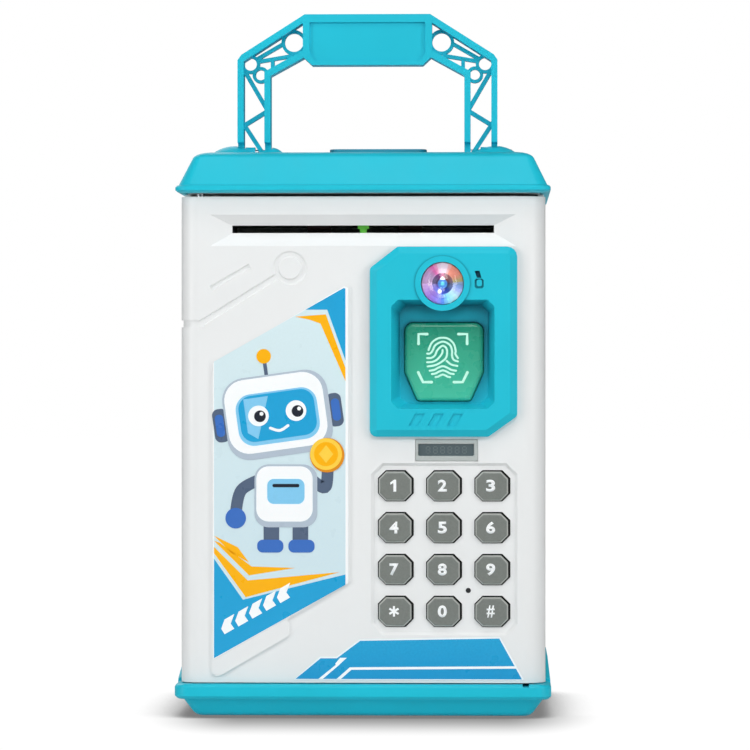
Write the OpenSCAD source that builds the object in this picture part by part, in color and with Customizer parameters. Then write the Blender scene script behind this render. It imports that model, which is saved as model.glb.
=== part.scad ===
// Toy cash-machine money bank with a swinging door, a working keypad, a note feeder and a carrying handle.
// Row frame: +X to the right of the front face, +Y to the back, +Z up. Origin under the middle of the bank,
// on the plane that its foot pads stand on. All sizes are in millimetres.

/* [Body] */
// Width of the door and of the white body
body_w = 131; // [130:0.5:132]
// Depth over the rims of the base and the lid
rim_d = 124; // [124:0.5:127]
// Width over the rim of the base
base_w = 135; // [134.5:0.5:137]
// Width over the rim of the lid
lid_w = 134.6; // [134:0.1:136]
// Thickness of the white walls
wall = 2.2; // [2:0.1:2.4]
// Thickness of the door, which is also the diameter of its rounded hinge edge
door_t = 13.5; // [13.2:0.1:13.8]

/* [Heights] */
// Top of the foot pads, where the base begins
foot_h = 0.5; // [0.4:0.1:0.6]
// Top of the base deck
base_top = 12.2; // [12:0.1:12.6]
// Lower edge of the lid rim
lid_z = 188; // [188:0.1:189]
// Top face of the lid
lid_top = 203; // [203:0.1:204]
// Top of the carrying handle
handle_top = 256.8; // [256:0.1:260]

/* [Keypad] */
// Distance between key columns
key_dx = 17.3; // [17:0.1:17.5]
// Distance between key rows
key_dz = 15; // [14.8:0.1:15.1]
// Width of a key
key_w = 11.7; // [11.4:0.1:12]
// Height of a key
key_h = 10.45; // [10:0.05:10.6]
// How far a key goes in
key_travel = 1; // [0.6:0.1:1]

/* [Note feeder] */
// Half width of the note slot
slot_half = 47; // [44:0.5:47]
// Height of the note slot
slot_h = 2.7; // [2.4:0.1:3]
// Height of the middle of the note path
note_z = 175.15; // [175.1:0.05:175.2]
// Radius of the driven rubber rollers
roller_r = 6.6; // [6.4:0.1:6.6]
// Radius of the idler rollers above them
idler_r = 3.6; // [3.4:0.1:3.6]
// Teeth on the roller shaft's gear
gear_teeth = 42; // [42:1:42]
// Teeth on the motor's pinion
pinion_teeth = 14; // [14:1:14]
// Gear module
gear_m = 0.5; // [0.5:0.1:0.5]

/* [Hidden] */
$fn = 48;
eps = 0.01;

KEY_NAMES = ["1", "2", "3", "4", "5", "6", "7", "8", "9", "star", "0", "hash"];

// Colours
white = [0.93, 0.94, 0.94];
teal = [0.16, 0.72, 0.80];
key_grey = [0.48, 0.50, 0.48];
jade = [0.20, 0.68, 0.55];
sky = [0.78, 0.88, 0.91];
strong_blue = [0.13, 0.56, 0.78];

// Main planes
front_y = -rim_d/2 + 4.5;
rear_y = -front_y;
door_rear = front_y + door_t;
body_front = door_rear + 0.5;
half_w = body_w/2;
body_half = half_w - 0.5;
body_r = 8;                       // rear corners
door_z0 = base_top + 0.35;
door_z1 = lid_z - 1.2;
door_corner = 8.5;                // radius of the front edge opposite the hinge
hinge_r = door_t/2;
hinge_x = -half_w + hinge_r;
hinge_y = front_y + hinge_r;
pin_r = 1.5;
skin_back = front_y + wall;       // inner face of the door's front wall
liner_y0 = door_rear - 1.8;       // the liner is 1.8 thick and flush with the door's rear edge

// Keypad
keys_x = 28.9;                    // middle column
keys_top = 83;                    // top row
pad_recess = 1;
pad_y = front_y + pad_recess;
key_gap = [0.6, 0.4];             // clearance of a key in its opening
key_shift = [0.22, 0.12];         // the openings stand a little off the keys' middles
key_clip = 2.6;                   // cut corners of a key
key_round = 0.5;

// Face panel
face_front = front_y - 4;
face_floor = front_y + 3;
eye_x = 28.6;
eye_z = 155.5;
eye_r = 7.7;
button_front = front_y + 0.6;

// Note feeder
roller_x = 16.6;
roller_w = 8.4;
shaft_y = door_rear + 6;
shaft_z = note_z - 0.15 - roller_r;
idler_z = note_z + 0.15 + idler_r;
gear_angle = -50;                 // direction from the gear to the pinion, in the YZ plane
gear_c = gear_m*(gear_teeth + pinion_teeth)/2;
motor_y = shaft_y + gear_c*cos(gear_angle);
motor_z = shaft_z + gear_c*sin(gear_angle);
gear_x = 50.2;
gear_face = 3;
plate_x = slot_half + 0.5;        // inner faces of the feeder's side plates
plate_t = 1.2;
lever_y = front_y + 7.5;
lever_z = 181;

// Latch
latch_x = 53;
latch_z = 104;
latch_len = 8.2;
latch_y0 = door_rear + 3;
latch_t = 2.4;

// Handle
handle_half = 48.3;
leg_w = 12.3;
leg_bar = 2.3;                    // width of the two bars of a leg
handle_t = 5.4;                   // thickness at the pivot
handle_front = 6.6;               // how far the bars stand forward of the pivot above the sockets
pivot_z = lid_top + handle_t/2 + 0.15;
socket_x = handle_half - 1.2;      // middle of the outer bar
socket_r = 10.8;
socket_h = 5.2;
plug_r = 7;                       // round plug under the socket, in the lid's hole
ear_r = 1.9;
leg_in = handle_half - leg_w;
handle_pin_r = 1;
pin_end = socket_x + 6.5;
ear_in = leg_in + 6;              // the ear between a leg's bars
ear_out = handle_half - leg_bar - 0.4;

// Coin slot
coin_x = 3.4;
coin_y = 19;

// Places of the screws
base_screw_x = 50;
base_screw_y = [-33, 46];
lid_screw_x = 54;
lid_screw_y = [-34, 40];
liner_screws = [[-46, 22], [58.8, 22], [-46, 128], [58.8, 84], [58.8, 128], [-20, 142]];
battery_z = [40.4, 56, 71.6];
battery_x0 = -44.5;
battery_len = 50;
battery_r = 7.1;
battery_y = door_rear + 7.4;
bay = [-48.5, 31, 58, 50];        // low X, low Z, width, height of the battery bay
bay_rear = door_rear + 16;

// ---------- outlines and helpers ----------

function arc(cx, cy, r, a0, a1, n = 8) =
    [for (i = [0:n]) let(a = a0 + (a1 - a0)*i/n) [cx + r*cos(a), cy + r*sin(a)]];

// Rounded rectangle about the origin
function rounded(w, d, r, n = 12) = concat(
    arc(w/2 - r, d/2 - r, r, 0, 90, n), arc(-w/2 + r, d/2 - r, r, 90, 180, n),
    arc(-w/2 + r, -d/2 + r, r, 180, 270, n), arc(w/2 - r, -d/2 + r, r, 270, 360, n));

function unit(v) = v/norm(v);

// Polygon with its corners rounded. r is one radius, or a list with one radius for each corner.
function round_corners(points, r, n = 4) = let(m = len(points)) [for (i = [0:m - 1])
    let(p = points[i], u = unit(points[(i + m - 1) % m] - p), v = unit(points[(i + 1) % m] - p),
        radius = is_list(r) ? r[i] : r, half = acos(u*v)/2, middle = p + unit(u + v)*radius/sin(half),
        start = p + u*radius/tan(half) - middle, turn = (cross(u, v) < 0 ? 1 : -1)*(180 - 2*half))
    for (k = [0:n]) let(a = turn*k/n)
        middle + [start[0]*cos(a) - start[1]*sin(a), start[0]*sin(a) + start[1]*cos(a)]];

// Rectangle about the origin with its corners cut off
function clipped(w, h, c) =
    [[w/2 - c, h/2], [-w/2 + c, h/2], [-w/2, h/2 - c], [-w/2, -h/2 + c],
     [-w/2 + c, -h/2], [w/2 - c, -h/2], [w/2, -h/2 + c], [w/2, h/2 - c]];

// Rectangle between two corners, clipped
function clipped_box(x0, z0, x1, z1, c) =
    [for (p = clipped(x1 - x0, z1 - z0, c)) [p[0] + (x0 + x1)/2, p[1] + (z0 + z1)/2]];

// A slab with an (x, z) outline from y0 to y1
module slab_y(y0, y1) translate([0, y1, 0]) rotate([90, 0, 0]) linear_extrude(height = y1 - y0) children();

// A slab with a (y, z) outline from x0 to x1
module slab_x(x0, x1) translate([x0, 0, 0]) rotate([90, 0, 90]) linear_extrude(height = x1 - x0) children();

// A slab with an (x, y) outline from z0 to z1
module slab_z(z0, z1) translate([0, 0, z0]) linear_extrude(height = z1 - z0) children();

module rod_x(y, z, r, x0, x1) translate([x0, y, z]) rotate([0, 90, 0]) cylinder(r = r, h = x1 - x0);
module rod_y(x, z, r, y0, y1) translate([x, y0, z]) rotate([-90, 0, 0]) cylinder(r = r, h = y1 - y0);
module rod_z(x, y, r, z0, z1) translate([x, y, z0]) cylinder(r = r, h = z1 - z0);
module box(lo, hi) translate(lo) cube(hi - lo);

// A bar of width w between two points of a plane
module bar(a, b, w) {
    d = b - a;
    translate(a) rotate(atan2(d[1], d[0])) translate([-w/2, -w/2]) square([norm(d) + w, w]);
}

// Solid through a stack of rounded rectangles, each [z, width, depth, corner radius], lowest first
module levels(stack) {
    rings = [for (s = stack) [for (p = rounded(s[1], s[2], s[3])) [p[0], p[1], s[0]]]];
    m = len(rings[0]);
    last = len(stack) - 1;
    polyhedron(points = [for (r = rings) each r], faces = concat(
        [[for (i = [0:m - 1]) i], [for (i = [m - 1:-1:0]) last*m + i]],
        [for (k = [0:last - 1], i = [0:m - 1]) let(j = (i + 1) % m)
            [k*m + i, (k + 1)*m + i, (k + 1)*m + j, k*m + j]]));
}

// The levels of a rounded box w by d whose walls follow profile, a list of [z, inset]
function profiled(w, d, r, profile) = [for (p = profile) [p[0], w - 2*p[1], d - 2*p[1], r - p[1]*0.3]];

// Pan-head screw whose head sits at the origin and whose shank runs along +Z
module screw(shank, length, head, head_h = 1.3) {
    difference() {
        translate([0, 0, -head_h]) cylinder(r = head, h = head_h);
        for (a = [0, 90]) rotate(a) translate([-head*0.6, -0.3, -head_h - eps]) cube([head*1.2, 0.6, 0.7]);
    }
    cylinder(r = shank, h = length);
}

// Involute gear outline with short teeth, so that the small pinion needs no undercut
function flank_angle(rb, rho) = let(t = sqrt(max(rho*rho/rb/rb - 1, 0))) t*180/PI - atan(t);
function gear_outline(teeth, m, play, turn) =
    let(rp = m*teeth/2, rb = rp*cos(20), ra = rp + 0.8*m, rf = rp - 1.05*m,
        half = 90/teeth - play/rp*90/PI, steps = 4,
        rho = [for (i = [0:steps]) max(rb, rf) + (ra - max(rb, rf))*i/steps],
        side = [for (r = rho) half + flank_angle(rb, rp) - flank_angle(rb, r)])
    [for (k = [0:teeth - 1]) let(a = turn + 360*k/teeth)
        each concat([rf*[cos(a - side[0]), sin(a - side[0])]],
            [for (i = [0:steps]) rho[i]*[cos(a - side[i]), sin(a - side[i])]],
            [for (i = [steps:-1:0]) rho[i]*[cos(a + side[i]), sin(a + side[i])]],
            [rf*[cos(a + side[0]), sin(a + side[0])]])];

// ---------- base ----------

skirt_top = 6.8;
plate_top = foot_h + 2;           // top of the bottom plate
base_profile = [[foot_h, 8.4], [foot_h + 0.5, 7.3], [foot_h + 1.3, 6.4], [skirt_top, 2.9], [skirt_top, 1.2],
                [skirt_top + 0.5, 0.5], [skirt_top + 1.2, 0], [base_top - 1.2, 0],
                [base_top - 0.5, 0.35], [base_top, 1]];
base_hollow = [[foot_h - 1, 11], [skirt_top, 5.4], [base_top - wall, 4.2]];
wing_x = half_w + 1.1;            // top of the wings' leaning outer face
wing_z = 19.8;

// One wing that hugs the side of the body: leaning outer face, sloping ends
module side_wing() intersection() {
    slab_y(body_front + 0.3, 45) polygon([[body_half + 0.02, base_top - 2], [base_w/2 - 0.1, base_top - 2],
        [base_w/2 - 0.1, base_top], [wing_x, wing_z], [body_half + 0.02, wing_z + 0.3]]);
    slab_x(0, base_w) polygon([[-46, base_top - 2], [46, base_top - 2], [46, base_top],
        [22, wing_z + 0.3], [-22, wing_z + 0.3], [-46, base_top]]);
}

module base_tray() color(teal) difference() {
    union() {
        difference() {
            levels(profiled(base_w, rim_d, 5, base_profile));
            levels(profiled(base_w, rim_d, 10, base_hollow));
        }
        for (s = [0, 1]) mirror([s, 0, 0]) side_wing();
        for (x = [-1, 1], y = base_screw_y) rod_z(x*base_screw_x, y, 4, plate_top, base_top - 1);
        rod_z(hinge_x, hinge_y, 3.2, 5.5, base_top - 1);
    }
    for (x = [-1, 1], y = base_screw_y) rod_z(x*base_screw_x, y, 1.6, 0, base_top + 1);
    rod_z(hinge_x, hinge_y, pin_r + 0.02, 6.8, base_top + 1);
    // Finger notch in the rim, for pulling the door open
    box([half_w - 8.3, -rim_d/2 - 1, base_top - 0.9], [half_w - 6, front_y + 7, base_top + 1]);
}

module bottom_plate() color([0.13, 0.60, 0.68]) difference() {
    union() {
        slab_z(foot_h, plate_top) polygon(rounded(base_w - 23, rim_d - 23, 6.5));
        for (x = [-30, 0, 30]) box([x - 0.8, -44, plate_top - 0.5], [x + 0.8, 44, plate_top + 2]);
    }
    for (x = [-1, 1], y = base_screw_y) rod_z(x*base_screw_x, y, 1.6, 0, base_top);
    for (x = [-1, 1], y = base_screw_y) rod_z(x*base_screw_x, y, 2.9, 0, foot_h + 1.2);
    // Shallow grip lines between the pads
    for (y = [-24:6:24]) box([-24, y - 0.6, 0], [24, y + 0.6, foot_h + 0.5]);
}

module base_screws() color("silver") for (x = [-1, 1], y = base_screw_y)
    translate([x*base_screw_x, y, foot_h + 1.2]) screw(1.5, 12, 2.6, 1);

module foot_pads() color([0.2, 0.2, 0.2]) for (x = [-1, 1], y = [-1, 1])
    rod_z(x*(base_w/2 - 28), y*(rim_d/2 - 19), 5, 0, foot_h);

// ---------- white body ----------

// Three-sided plan with rounded rear corners, moved in by inset; its front edge is at y = front
module body_plan(inset, front = body_front) polygon(concat([[body_half - inset, front]],
    arc(body_half - body_r, rear_y - body_r, body_r - inset, 0, 90),
    arc(-body_half + body_r, rear_y - body_r, body_r - inset, 90, 180),
    [[-body_half + inset, front]]));

groove_z = 141.2;                 // height of the line that runs round from the door to the sides
groove_w = 2.5;

// Shallow panel lines on the side walls
module side_lines() for (s = [0, 1]) mirror([s, 0, 0]) {
    slab_x(body_half - 0.7, body_half + 1) difference() {
        polygon(clipped_box(-36, 34, 46, 176, 7));
        polygon(clipped_box(-33.8, 36.2, 43.8, 173.8, 6));
    }
    slab_x(body_half - 0.7, body_half + 1) difference() {
        translate([5, groove_z]) circle(12);
        translate([5, groove_z]) circle(9.8);
    }
    slab_x(body_half - 0.7, body_half + 1) bar([body_front - 2, groove_z], [-6, groove_z], groove_w);
}

module rear_lines() {
    slab_y(rear_y - 0.7, rear_y + 1) difference() {
        polygon(clipped_box(-48, 34, 48, 176, 8));
        polygon(clipped_box(-45.8, 36.2, 45.8, 173.8, 7));
    }
    for (z = [150:6:168]) slab_y(rear_y - 0.8, rear_y + 1) translate([0, z]) square([52, 2.2], center = true);
}

module body_shell() color(white) difference() {
    union() {
        slab_z(base_top, lid_z) difference() {
            body_plan(0);
            body_plan(wall, body_front - 1);
        }
        slab_z(base_top, base_top + 3) body_plan(wall/2);
        slab_z(lid_z, lid_z + wall) polygon(rounded(body_w - 4, rim_d - 11, 7));
        rod_z(hinge_x, hinge_y, 3.2, lid_z + 1, lid_z + 5);
    }
    side_lines();
    rear_lines();
    for (x = [-1, 1], y = base_screw_y) rod_z(x*base_screw_x, y, 1.55, 0, base_top + 2.4);
    for (x = [-1, 1], y = lid_screw_y) rod_z(x*lid_screw_x, y, 1.6, lid_z - 1, lid_z + 4);
    rod_z(hinge_x, hinge_y, pin_r + 0.02, lid_z - 1, lid_z + 3.8);
    box([coin_x - 16.6, coin_y - 5.1, lid_z - 1], [coin_x + 16.6, coin_y + 5.1, lid_z + 4]);
}

// Catch on the right wall that the latch lever turns behind
module latch_keeper() color(white) difference() {
    box([latch_x + 4.5, body_front + 0.1, latch_z - 13],
        [body_half - wall, latch_y0 + latch_t + 3.2, latch_z + 8]);
    box([latch_x, latch_y0 - 0.4, latch_z - 20],
        [body_half - wall - 0.6, latch_y0 + latch_t + 0.4, latch_z + 4.5]);
}

module door_hinge_pins() color("silver") {
    rod_z(hinge_x, hinge_y, pin_r, 6.8, door_z0 + 8);
    rod_z(hinge_x, hinge_y, pin_r, door_z1 - 8, lid_z + 3.8);
}

// ---------- lid ----------

rim_h = 2.9;
lid_profile = [[lid_z, 2.6], [lid_z + 0.4, 0.8], [lid_z + 1, 0], [lid_z + 2.1, 0], [lid_z + 2.7, 0.5],
               [lid_z + rim_h, 1.2], [lid_top - 2.2, 6], [lid_top - 1.6, 6.5], [lid_top - 1.1, 7.2],
               [lid_top - 0.6, 8.3], [lid_top - 0.2, 9.8], [lid_top, 11.4]];
lid_hollow = [[lid_z - 1, 3.4], [lid_z + rim_h, 3.8], [lid_top - wall - 2, 8.6], [lid_top - wall, 11.4]];

module lid_cover() color(teal) difference() {
    union() {
        difference() {
            levels(profiled(lid_w, rim_d, 5, lid_profile));
            levels(profiled(lid_w, rim_d, 7, lid_hollow));
        }
        for (x = [-1, 1], y = lid_screw_y) rod_z(x*lid_screw_x, y, 3.6, lid_z + wall, lid_top - 1.5);
    }
    for (x = [-1, 1], y = lid_screw_y) rod_z(x*lid_screw_x, y, 1.25, lid_z - 1, lid_z + 11);
    for (x = [-1, 1]) rod_z(x*socket_x, 0, plug_r, lid_z, lid_top + 1);
    box([coin_x - 16.6, coin_y - 5.1, lid_z], [coin_x + 16.6, coin_y + 5.1, lid_top + 1]);
}

module lid_screws() color("silver") for (x = [-1, 1], y = lid_screw_y)
    translate([x*lid_screw_x, y, lid_z]) screw(1.2, 9.5, 2.6);

// Raised coin mouth with its chute down to the body's top plate
module coin_slot_insert() color([0.13, 0.62, 0.70]) translate([coin_x, coin_y, 0]) difference() {
    union() {
        slab_z(lid_z, lid_top + 1) square([33, 10], center = true);
        slab_z(lid_top, lid_top + 3.4) polygon(rounded(38, 14, 4));
        slab_z(lid_top + 3.4, lid_top + 4.8) polygon(rounded(36.5, 12, 3.4));
    }
    slab_z(lid_z - 1, lid_top + 8) polygon(rounded(31, 3.6, 1.7));
}

// Low dome, part of a ball of radius dome_r, standing at x on the lid's top face
module dome(x, r, h) translate([x, 0, lid_top]) intersection() {
    translate([0, 0, h - (r*r + h*h)/(2*h)]) sphere(r = (r*r + h*h)/(2*h), $fn = 64);
    translate([-r - 1, -r - 1, 0]) cube([2*r + 2, 2*r + 2, h + 1]);
}

// Socket of the right leg. Its front half is a stop behind which the leg stands; its rear half is open,
// so that the handle folds back. An ear between the leg's two bars carries the pin.
module handle_socket(domes) difference() {
    union() {
        difference() {
            for (d = domes) dome(d[0], d[1], d[2]);
            box([leg_in - 0.4, -handle_t/2 - 0.15, lid_top - 1], [handle_half + 0.4, 30, lid_top + 20]);
        }
        rod_z(socket_x, 0, plug_r, lid_top - wall, lid_top + 0.1);
        rod_x(0, pivot_z, ear_r, ear_in, ear_out);
        box([ear_in, -handle_t/2 - 0.5, lid_top], [ear_out, ear_r, pivot_z]);
    }
    rod_x(0, pivot_z, handle_pin_r + 0.02, leg_in, pin_end);
}

module left_handle_socket() color(teal) mirror([1, 0, 0])
    handle_socket([[socket_x + 2.6, socket_r, socket_h], [leg_in + 0.3, 6, 4.7]]);
module right_handle_socket() color(teal) handle_socket([[socket_x, socket_r, socket_h]]);

module handle_pins() color("silver") for (s = [0, 1]) mirror([s, 0, 0])
    rod_x(0, pivot_z, handle_pin_r, leg_in, pin_end);

// ---------- carrying handle ----------

grip_half = 23.3;
grip_z = handle_top - 18.9;       // lower edge of the grip
arm_slope = 0.636;                // fall of the arms for each millimetre to the side
arm_h = 2.85;                     // height of an arm's section
arm_x = handle_half - 1.4;        // start of the clipped shoulder
crook_z = handle_top - 22.9;      // inner corner between leg and arm
step_z = lid_top + socket_h + 0.6;  // where the bars get deeper

// Right half of the outer frame, in x and z
frame_outline = [[-eps, handle_top], [grip_half, handle_top],
    [arm_x, handle_top - (arm_x - grip_half)*arm_slope], [handle_half, handle_top - 17],
    [handle_half, pivot_z], [handle_half - leg_bar, pivot_z],
    [handle_half - leg_bar, handle_top - 17.4], [grip_half + 0.7, handle_top - 0.4 - arm_h],
    [grip_half + 0.7, crook_z + 6.6 + arm_h], [leg_in + leg_bar, crook_z + 1.6],
    [leg_in + leg_bar, pivot_z], [leg_in, pivot_z], [leg_in, crook_z], [grip_half + 0.3, crook_z + 6.8],
    [grip_half - 2.7, grip_z], [-eps, grip_z]];

// Each ring of the lattice: middle, as x and the distance below the handle's top, inner and outer radius
rings = [[[27.5, 10.1], 3.45, 4.7], [[43.7, 18.2], 2.3, 3.5], [[39.9, 22.2], 1.9, 3.1]];
// Ends of the thin bars in the leg and in the arm, in the same way
leg_lattice = [[[46.4, 19.9], [37.6, 35.1]], [[37.6, 35.7], [46.2, 41]], [[46.4, 40.3], [39.7, 50.6]]];
arm_lattice = [[[40.6, 15.8], [31.8, 10.7]], [[39.8, 17], [28.5, 15.1]], [[35.5, 16.7], [35.5, 21]]];

module lattice_half() translate([0, handle_top]) difference() {
    union() {
        for (b = leg_lattice) bar([b[0][0], -b[0][1]], [b[1][0], -b[1][1]], 1.6);
        for (b = arm_lattice) bar([b[0][0], -b[0][1]], [b[1][0], -b[1][1]], 1.4);
        for (r = rings) translate([r[0][0], -r[0][1]]) circle(r[2]);
    }
    for (r = rings) translate([r[0][0], -r[0][1]]) circle(r[1]);
    // Nothing of the lattice stands outside the leg
    translate([handle_half - eps, -100]) square([20, 200]);
}

// The bars stand forward of the lattice, and step back to the pivot's thickness just above the sockets
module handle_frame() color(teal) difference() {
    union() for (s = [0, 1]) mirror([s, 0, 0]) {
        slab_y(-handle_front, handle_t/2) polygon(frame_outline);
        slab_y(-1.6, 1.6) lattice_half();
        rod_x(0, pivot_z, handle_t/2, leg_in, leg_in + leg_bar);
        rod_x(0, pivot_z, handle_t/2, handle_half - leg_bar, handle_half);
    }
    slab_x(-half_w, half_w) polygon([[-handle_front - 1, pivot_z - 10], [-handle_t/2, pivot_z - 10],
        [-handle_t/2, step_z], [-handle_front - 1, step_z + 0.6]]);
    slab_y(-handle_front - 1, -handle_front + 1) grip_recess();
    slab_y(handle_t/2 - 2.5, handle_t/2 + 1) grip_recess();
    for (s = [0, 1]) mirror([s, 0, 0]) rod_x(0, pivot_z, handle_pin_r + 0.06, leg_in - 1, handle_half + 1);
}

// Sunk panel on both faces of the grip, with its lower corners cut
module grip_recess() polygon(round_corners([[-21.5, handle_top - 3], [21.5, handle_top - 3],
    [21.5, grip_z + 4.4], [19.5, grip_z + 1.6], [-19.5, grip_z + 1.6], [-21.5, grip_z + 4.4]], 0.5, 3));

// ---------- door ----------

function door_plan() = concat(
    arc(hinge_x, hinge_y, hinge_r, 270, 90, 24),
    [[half_w - 1, door_rear], [half_w, door_rear - 1]],
    arc(half_w - door_corner, front_y + door_corner, door_corner, 0, -90, 12));

function door_hollow() = concat(
    [[hinge_x + hinge_r + 1, door_rear + 1], [half_w - wall, door_rear + 1]],
    arc(half_w - door_corner, front_y + door_corner, door_corner - wall, 0, -90),
    [[hinge_x + hinge_r + 1, skin_back]]);

// Raised plate that carries the front sticker, with its tab below
plate_outline = round_corners([[-54.1, 127.7], [-4.8, 156.3], [-4.8, 48.4], [-26.9, 35.4], [-26.3, 29.4],
                               [-54.1, 13.3]], [1, 1.6, 1, 1, 2, 2.2]);
sticker_outline = [[-53.7, 127], [-6.5, 154.6], [-5.2, 153.9], [-5.2, 48.3], [-53.7, 20.8]];
corner_outline = [[-24.8, 13.6], [-15.4, 21.8], [-9.5, 21.8], [-1.2, 28],
    [49.2, 29], [57.6, 14], [57.2, 13.6]];
pad_outline = round_corners([[7, 91.3], [51.4, 91.3], [55.4, 87.3], [55.4, 33.6], [51.4, 29.6], [7, 29.6],
                             [3, 33.6], [3, 87.3]], 0.6);
display_x = 29.65;
display_z = 95.85;

// A straight groove 0.7 deep in the door's front, w wide at the front, whose walls slope in
module sloped_groove(a, b, w) translate([a[0], front_y, a[1]])
    rotate([0, -atan2(b[1] - a[1], b[0] - a[0]), 0])
    slab_x(-w/2, norm(b - a) + w/2)
        polygon([[-1, -w/2], [0, -w/2], [0.7, -w/2 + 0.5], [0.7, w/2 - 0.5], [0, w/2], [-1, w/2]]);

// Ring groove with the channel that runs from it to the hinge edge
module front_groove() {
    translate([-26.1, front_y, 161.1]) rotate([-90, 0, 0]) rotate_extrude()
        polygon([[3.8, -1], [3.8, 0], [4.3, 0.7], [5.6, 0.7], [6.2, 0], [6.2, -1]]);
    sloped_groove([-30.8, 158.1], [-58.2, groove_z], groove_w);
    sloped_groove([-58.2, groove_z], [hinge_x, groove_z], groove_w);
    translate([hinge_x, hinge_y, groove_z - groove_w/2]) difference() {
        cylinder(r = 20, h = groove_w);
        translate([0, 0, -1]) cylinder(r = hinge_r - 0.7, h = 5);
        translate([0.01, -50, -1]) cube([50, 100, 5]);
    }
    sloped_groove([-53.8, 154.2], [-41.4, 161.4], 1.9);
}

// Funnel that leads a note into the slot
module note_mouth() {
    intersection() {
        slab_x(-60, 60) polygon([[front_y - 1, 182], [front_y, 180.3], [front_y + 3.4, note_z + slot_h/2],
            [front_y + 3.4, note_z - slot_h/2], [front_y, 169], [front_y - 1, 167.3]]);
        slab_z(100, 200) polygon([[-57, front_y - 1], [-54.8, front_y], [-slot_half, front_y + 3.4],
            [slot_half, front_y + 3.4], [54.8, front_y], [57, front_y - 1]]);
    }
    box([-slot_half, front_y, note_z - slot_h/2], [slot_half, front_y + 8, note_z + slot_h/2]);
}

// Outline of a key, wider by grow on each side, with its clipped corners deeper by clip
module key_outline(grow, clip) polygon(round_corners(clipped(key_w + 2*grow[0], key_h + 2*grow[1],
    key_clip + clip), key_round, 3));

module key_places() for (i = [0:11]) translate([keys_x + (i % 3 - 1)*key_dx, 0, keys_top - floor(i/3)*key_dz])
    children();

module door_shell() color(white) difference() {
    union() {
        difference() {
            slab_z(door_z0, door_z1) polygon(door_plan());
            slab_z(door_z0 + wall, door_z1 - wall) polygon(door_hollow());
        }
        slab_y(front_y - 0.8, front_y + 0.5) polygon(plate_outline);
        box([-slot_half - 3.4, skin_back - 0.5, 166.8], [59, skin_back + 2.2, 182.6]);
        intersection() {
            slab_z(door_z0, door_z1) polygon(door_plan());
            for (p = liner_screws) rod_y(p[0], p[1], 3, skin_back - 0.5, liner_y0);
        }
    }
    front_groove();
    note_mouth();
    hull() {
        slab_y(front_y - 1, front_y) polygon(pad_outline);
        slab_y(pad_y - eps, pad_y) offset(delta = -1) polygon(pad_outline);
    }
    key_places() slab_y(front_y - 1, skin_back + 1) translate(key_shift) key_outline(key_gap, 0.3);
    // Seats of the face panel and of the display
    slab_y(front_y - 1, skin_back + 1) polygon(clipped_box(6.5, 104.5, 51.5, 164.8, 5));
    slab_y(front_y - 1, front_y + 1.4)
        translate([display_x + 0.4, display_z]) square([22.5, 7.9], center = true);
    slab_y(front_y, skin_back + 1) translate([display_x, display_z]) square([20.4, 5], center = true);
    rod_y(37.8, 45.6, 0.95, front_y - 1, skin_back + 1);
    for (p = liner_screws) rod_y(p[0], p[1], 1.1, skin_back + 1, liner_y0 + 1);
    rod_z(hinge_x, hinge_y, pin_r + 0.06, door_z0 - 1, door_z0 + 8.4);
    rod_z(hinge_x, hinge_y, pin_r + 0.06, door_z1 - 8.4, door_z1 + 1);
}

// Inner face of the door: a plate with the feeder housing and the battery bay standing out of it
feed_box = [-plate_x - plate_t - 1.7, 146, 56.4, door_z1 - wall - 0.2];   // low X, low Z, high X, high Z
feed_rear = door_rear + 27;
module door_liner() color([0.90, 0.91, 0.92]) difference() {
    union() {
        box([hinge_x + hinge_r + 1.2, liner_y0, door_z0 + wall + 0.2],
            [half_w - wall - 0.2, door_rear, door_z1 - wall - 0.2]);
        box([feed_box[0], liner_y0, feed_box[1]], [feed_box[2], feed_rear, feed_box[3]]);
        box([bay[0], liner_y0, bay[1]], [bay[0] + bay[2], bay_rear, bay[1] + bay[3]]);
        rod_y(bay[0] + bay[2] + 4, 56, 3.5, liner_y0, bay_rear);
    }
    box([feed_box[0] + 1.5, liner_y0 - 1, feed_box[1] + 1.5],
        [feed_box[2] - 1.5, feed_rear - 1.5, feed_box[3] - 1.5]);
    box([-slot_half, feed_rear - 5, note_z - 1.9], [slot_half, feed_rear + 5, note_z + 1.7]);
    box([bay[0] + 1.5, door_rear, bay[1] + 1.5],
        [bay[0] + bay[2] - 1.5, bay_rear + 1, bay[1] + bay[3] - 1.5]);
    rod_y(bay[0] + bay[2] + 4, 56, 1.1, door_rear + 4, bay_rear + 1);
    rod_y(latch_x, latch_z, 2.3, liner_y0 - 1, door_rear + 1);
    for (p = liner_screws) rod_y(p[0], p[1], 1.5, liner_y0 - 1, door_rear + 1);
    for (a = [0:60:300], r = [3.6, 7.2]) rod_y(-26 + r*cos(a + r*5), 112 + r*sin(a + r*5), 0.9,
        liner_y0 - 1, door_rear + 1);
    rod_y(-26, 112, 0.9, liner_y0 - 1, door_rear + 1);
}

module door_screws() color("silver") for (p = liner_screws)
    translate([p[0], door_rear, p[1]]) rotate([90, 0, 0]) screw(1.05, 8, 2.3);

// ---------- face panel ----------

face_outline = round_corners([[2.6, 161], [12.5, 168.7], [55.3, 168.7], [55.3, 108.1], [45, 100.7],
                              [2.6, 100.7]], [1.8, 1.8, 3.6, 1.8, 1.8, 2.4]);

// Shield-shaped outline of the finger button, grown by g
function shield(g) = round_corners([[15.1 - g, 141.5 + g], [43.1 + g, 141.5 + g], [43.1 + g, 123.7 - g*0.2],
    [38.6 + g*0.7, 113.6 - g], [19.6 - g*0.7, 113.6 - g], [15.1 - g, 123.7 - g*0.2]],
    [3 + g, 3 + g, 2.4 + g, 1.4 + g, 1.4 + g, 2.4 + g]);

function recess_outline(x0, z0, x1, z1) = round_corners(clipped_box(x0, z0, x1, z1, 2.4), 1.2, 3);

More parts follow.
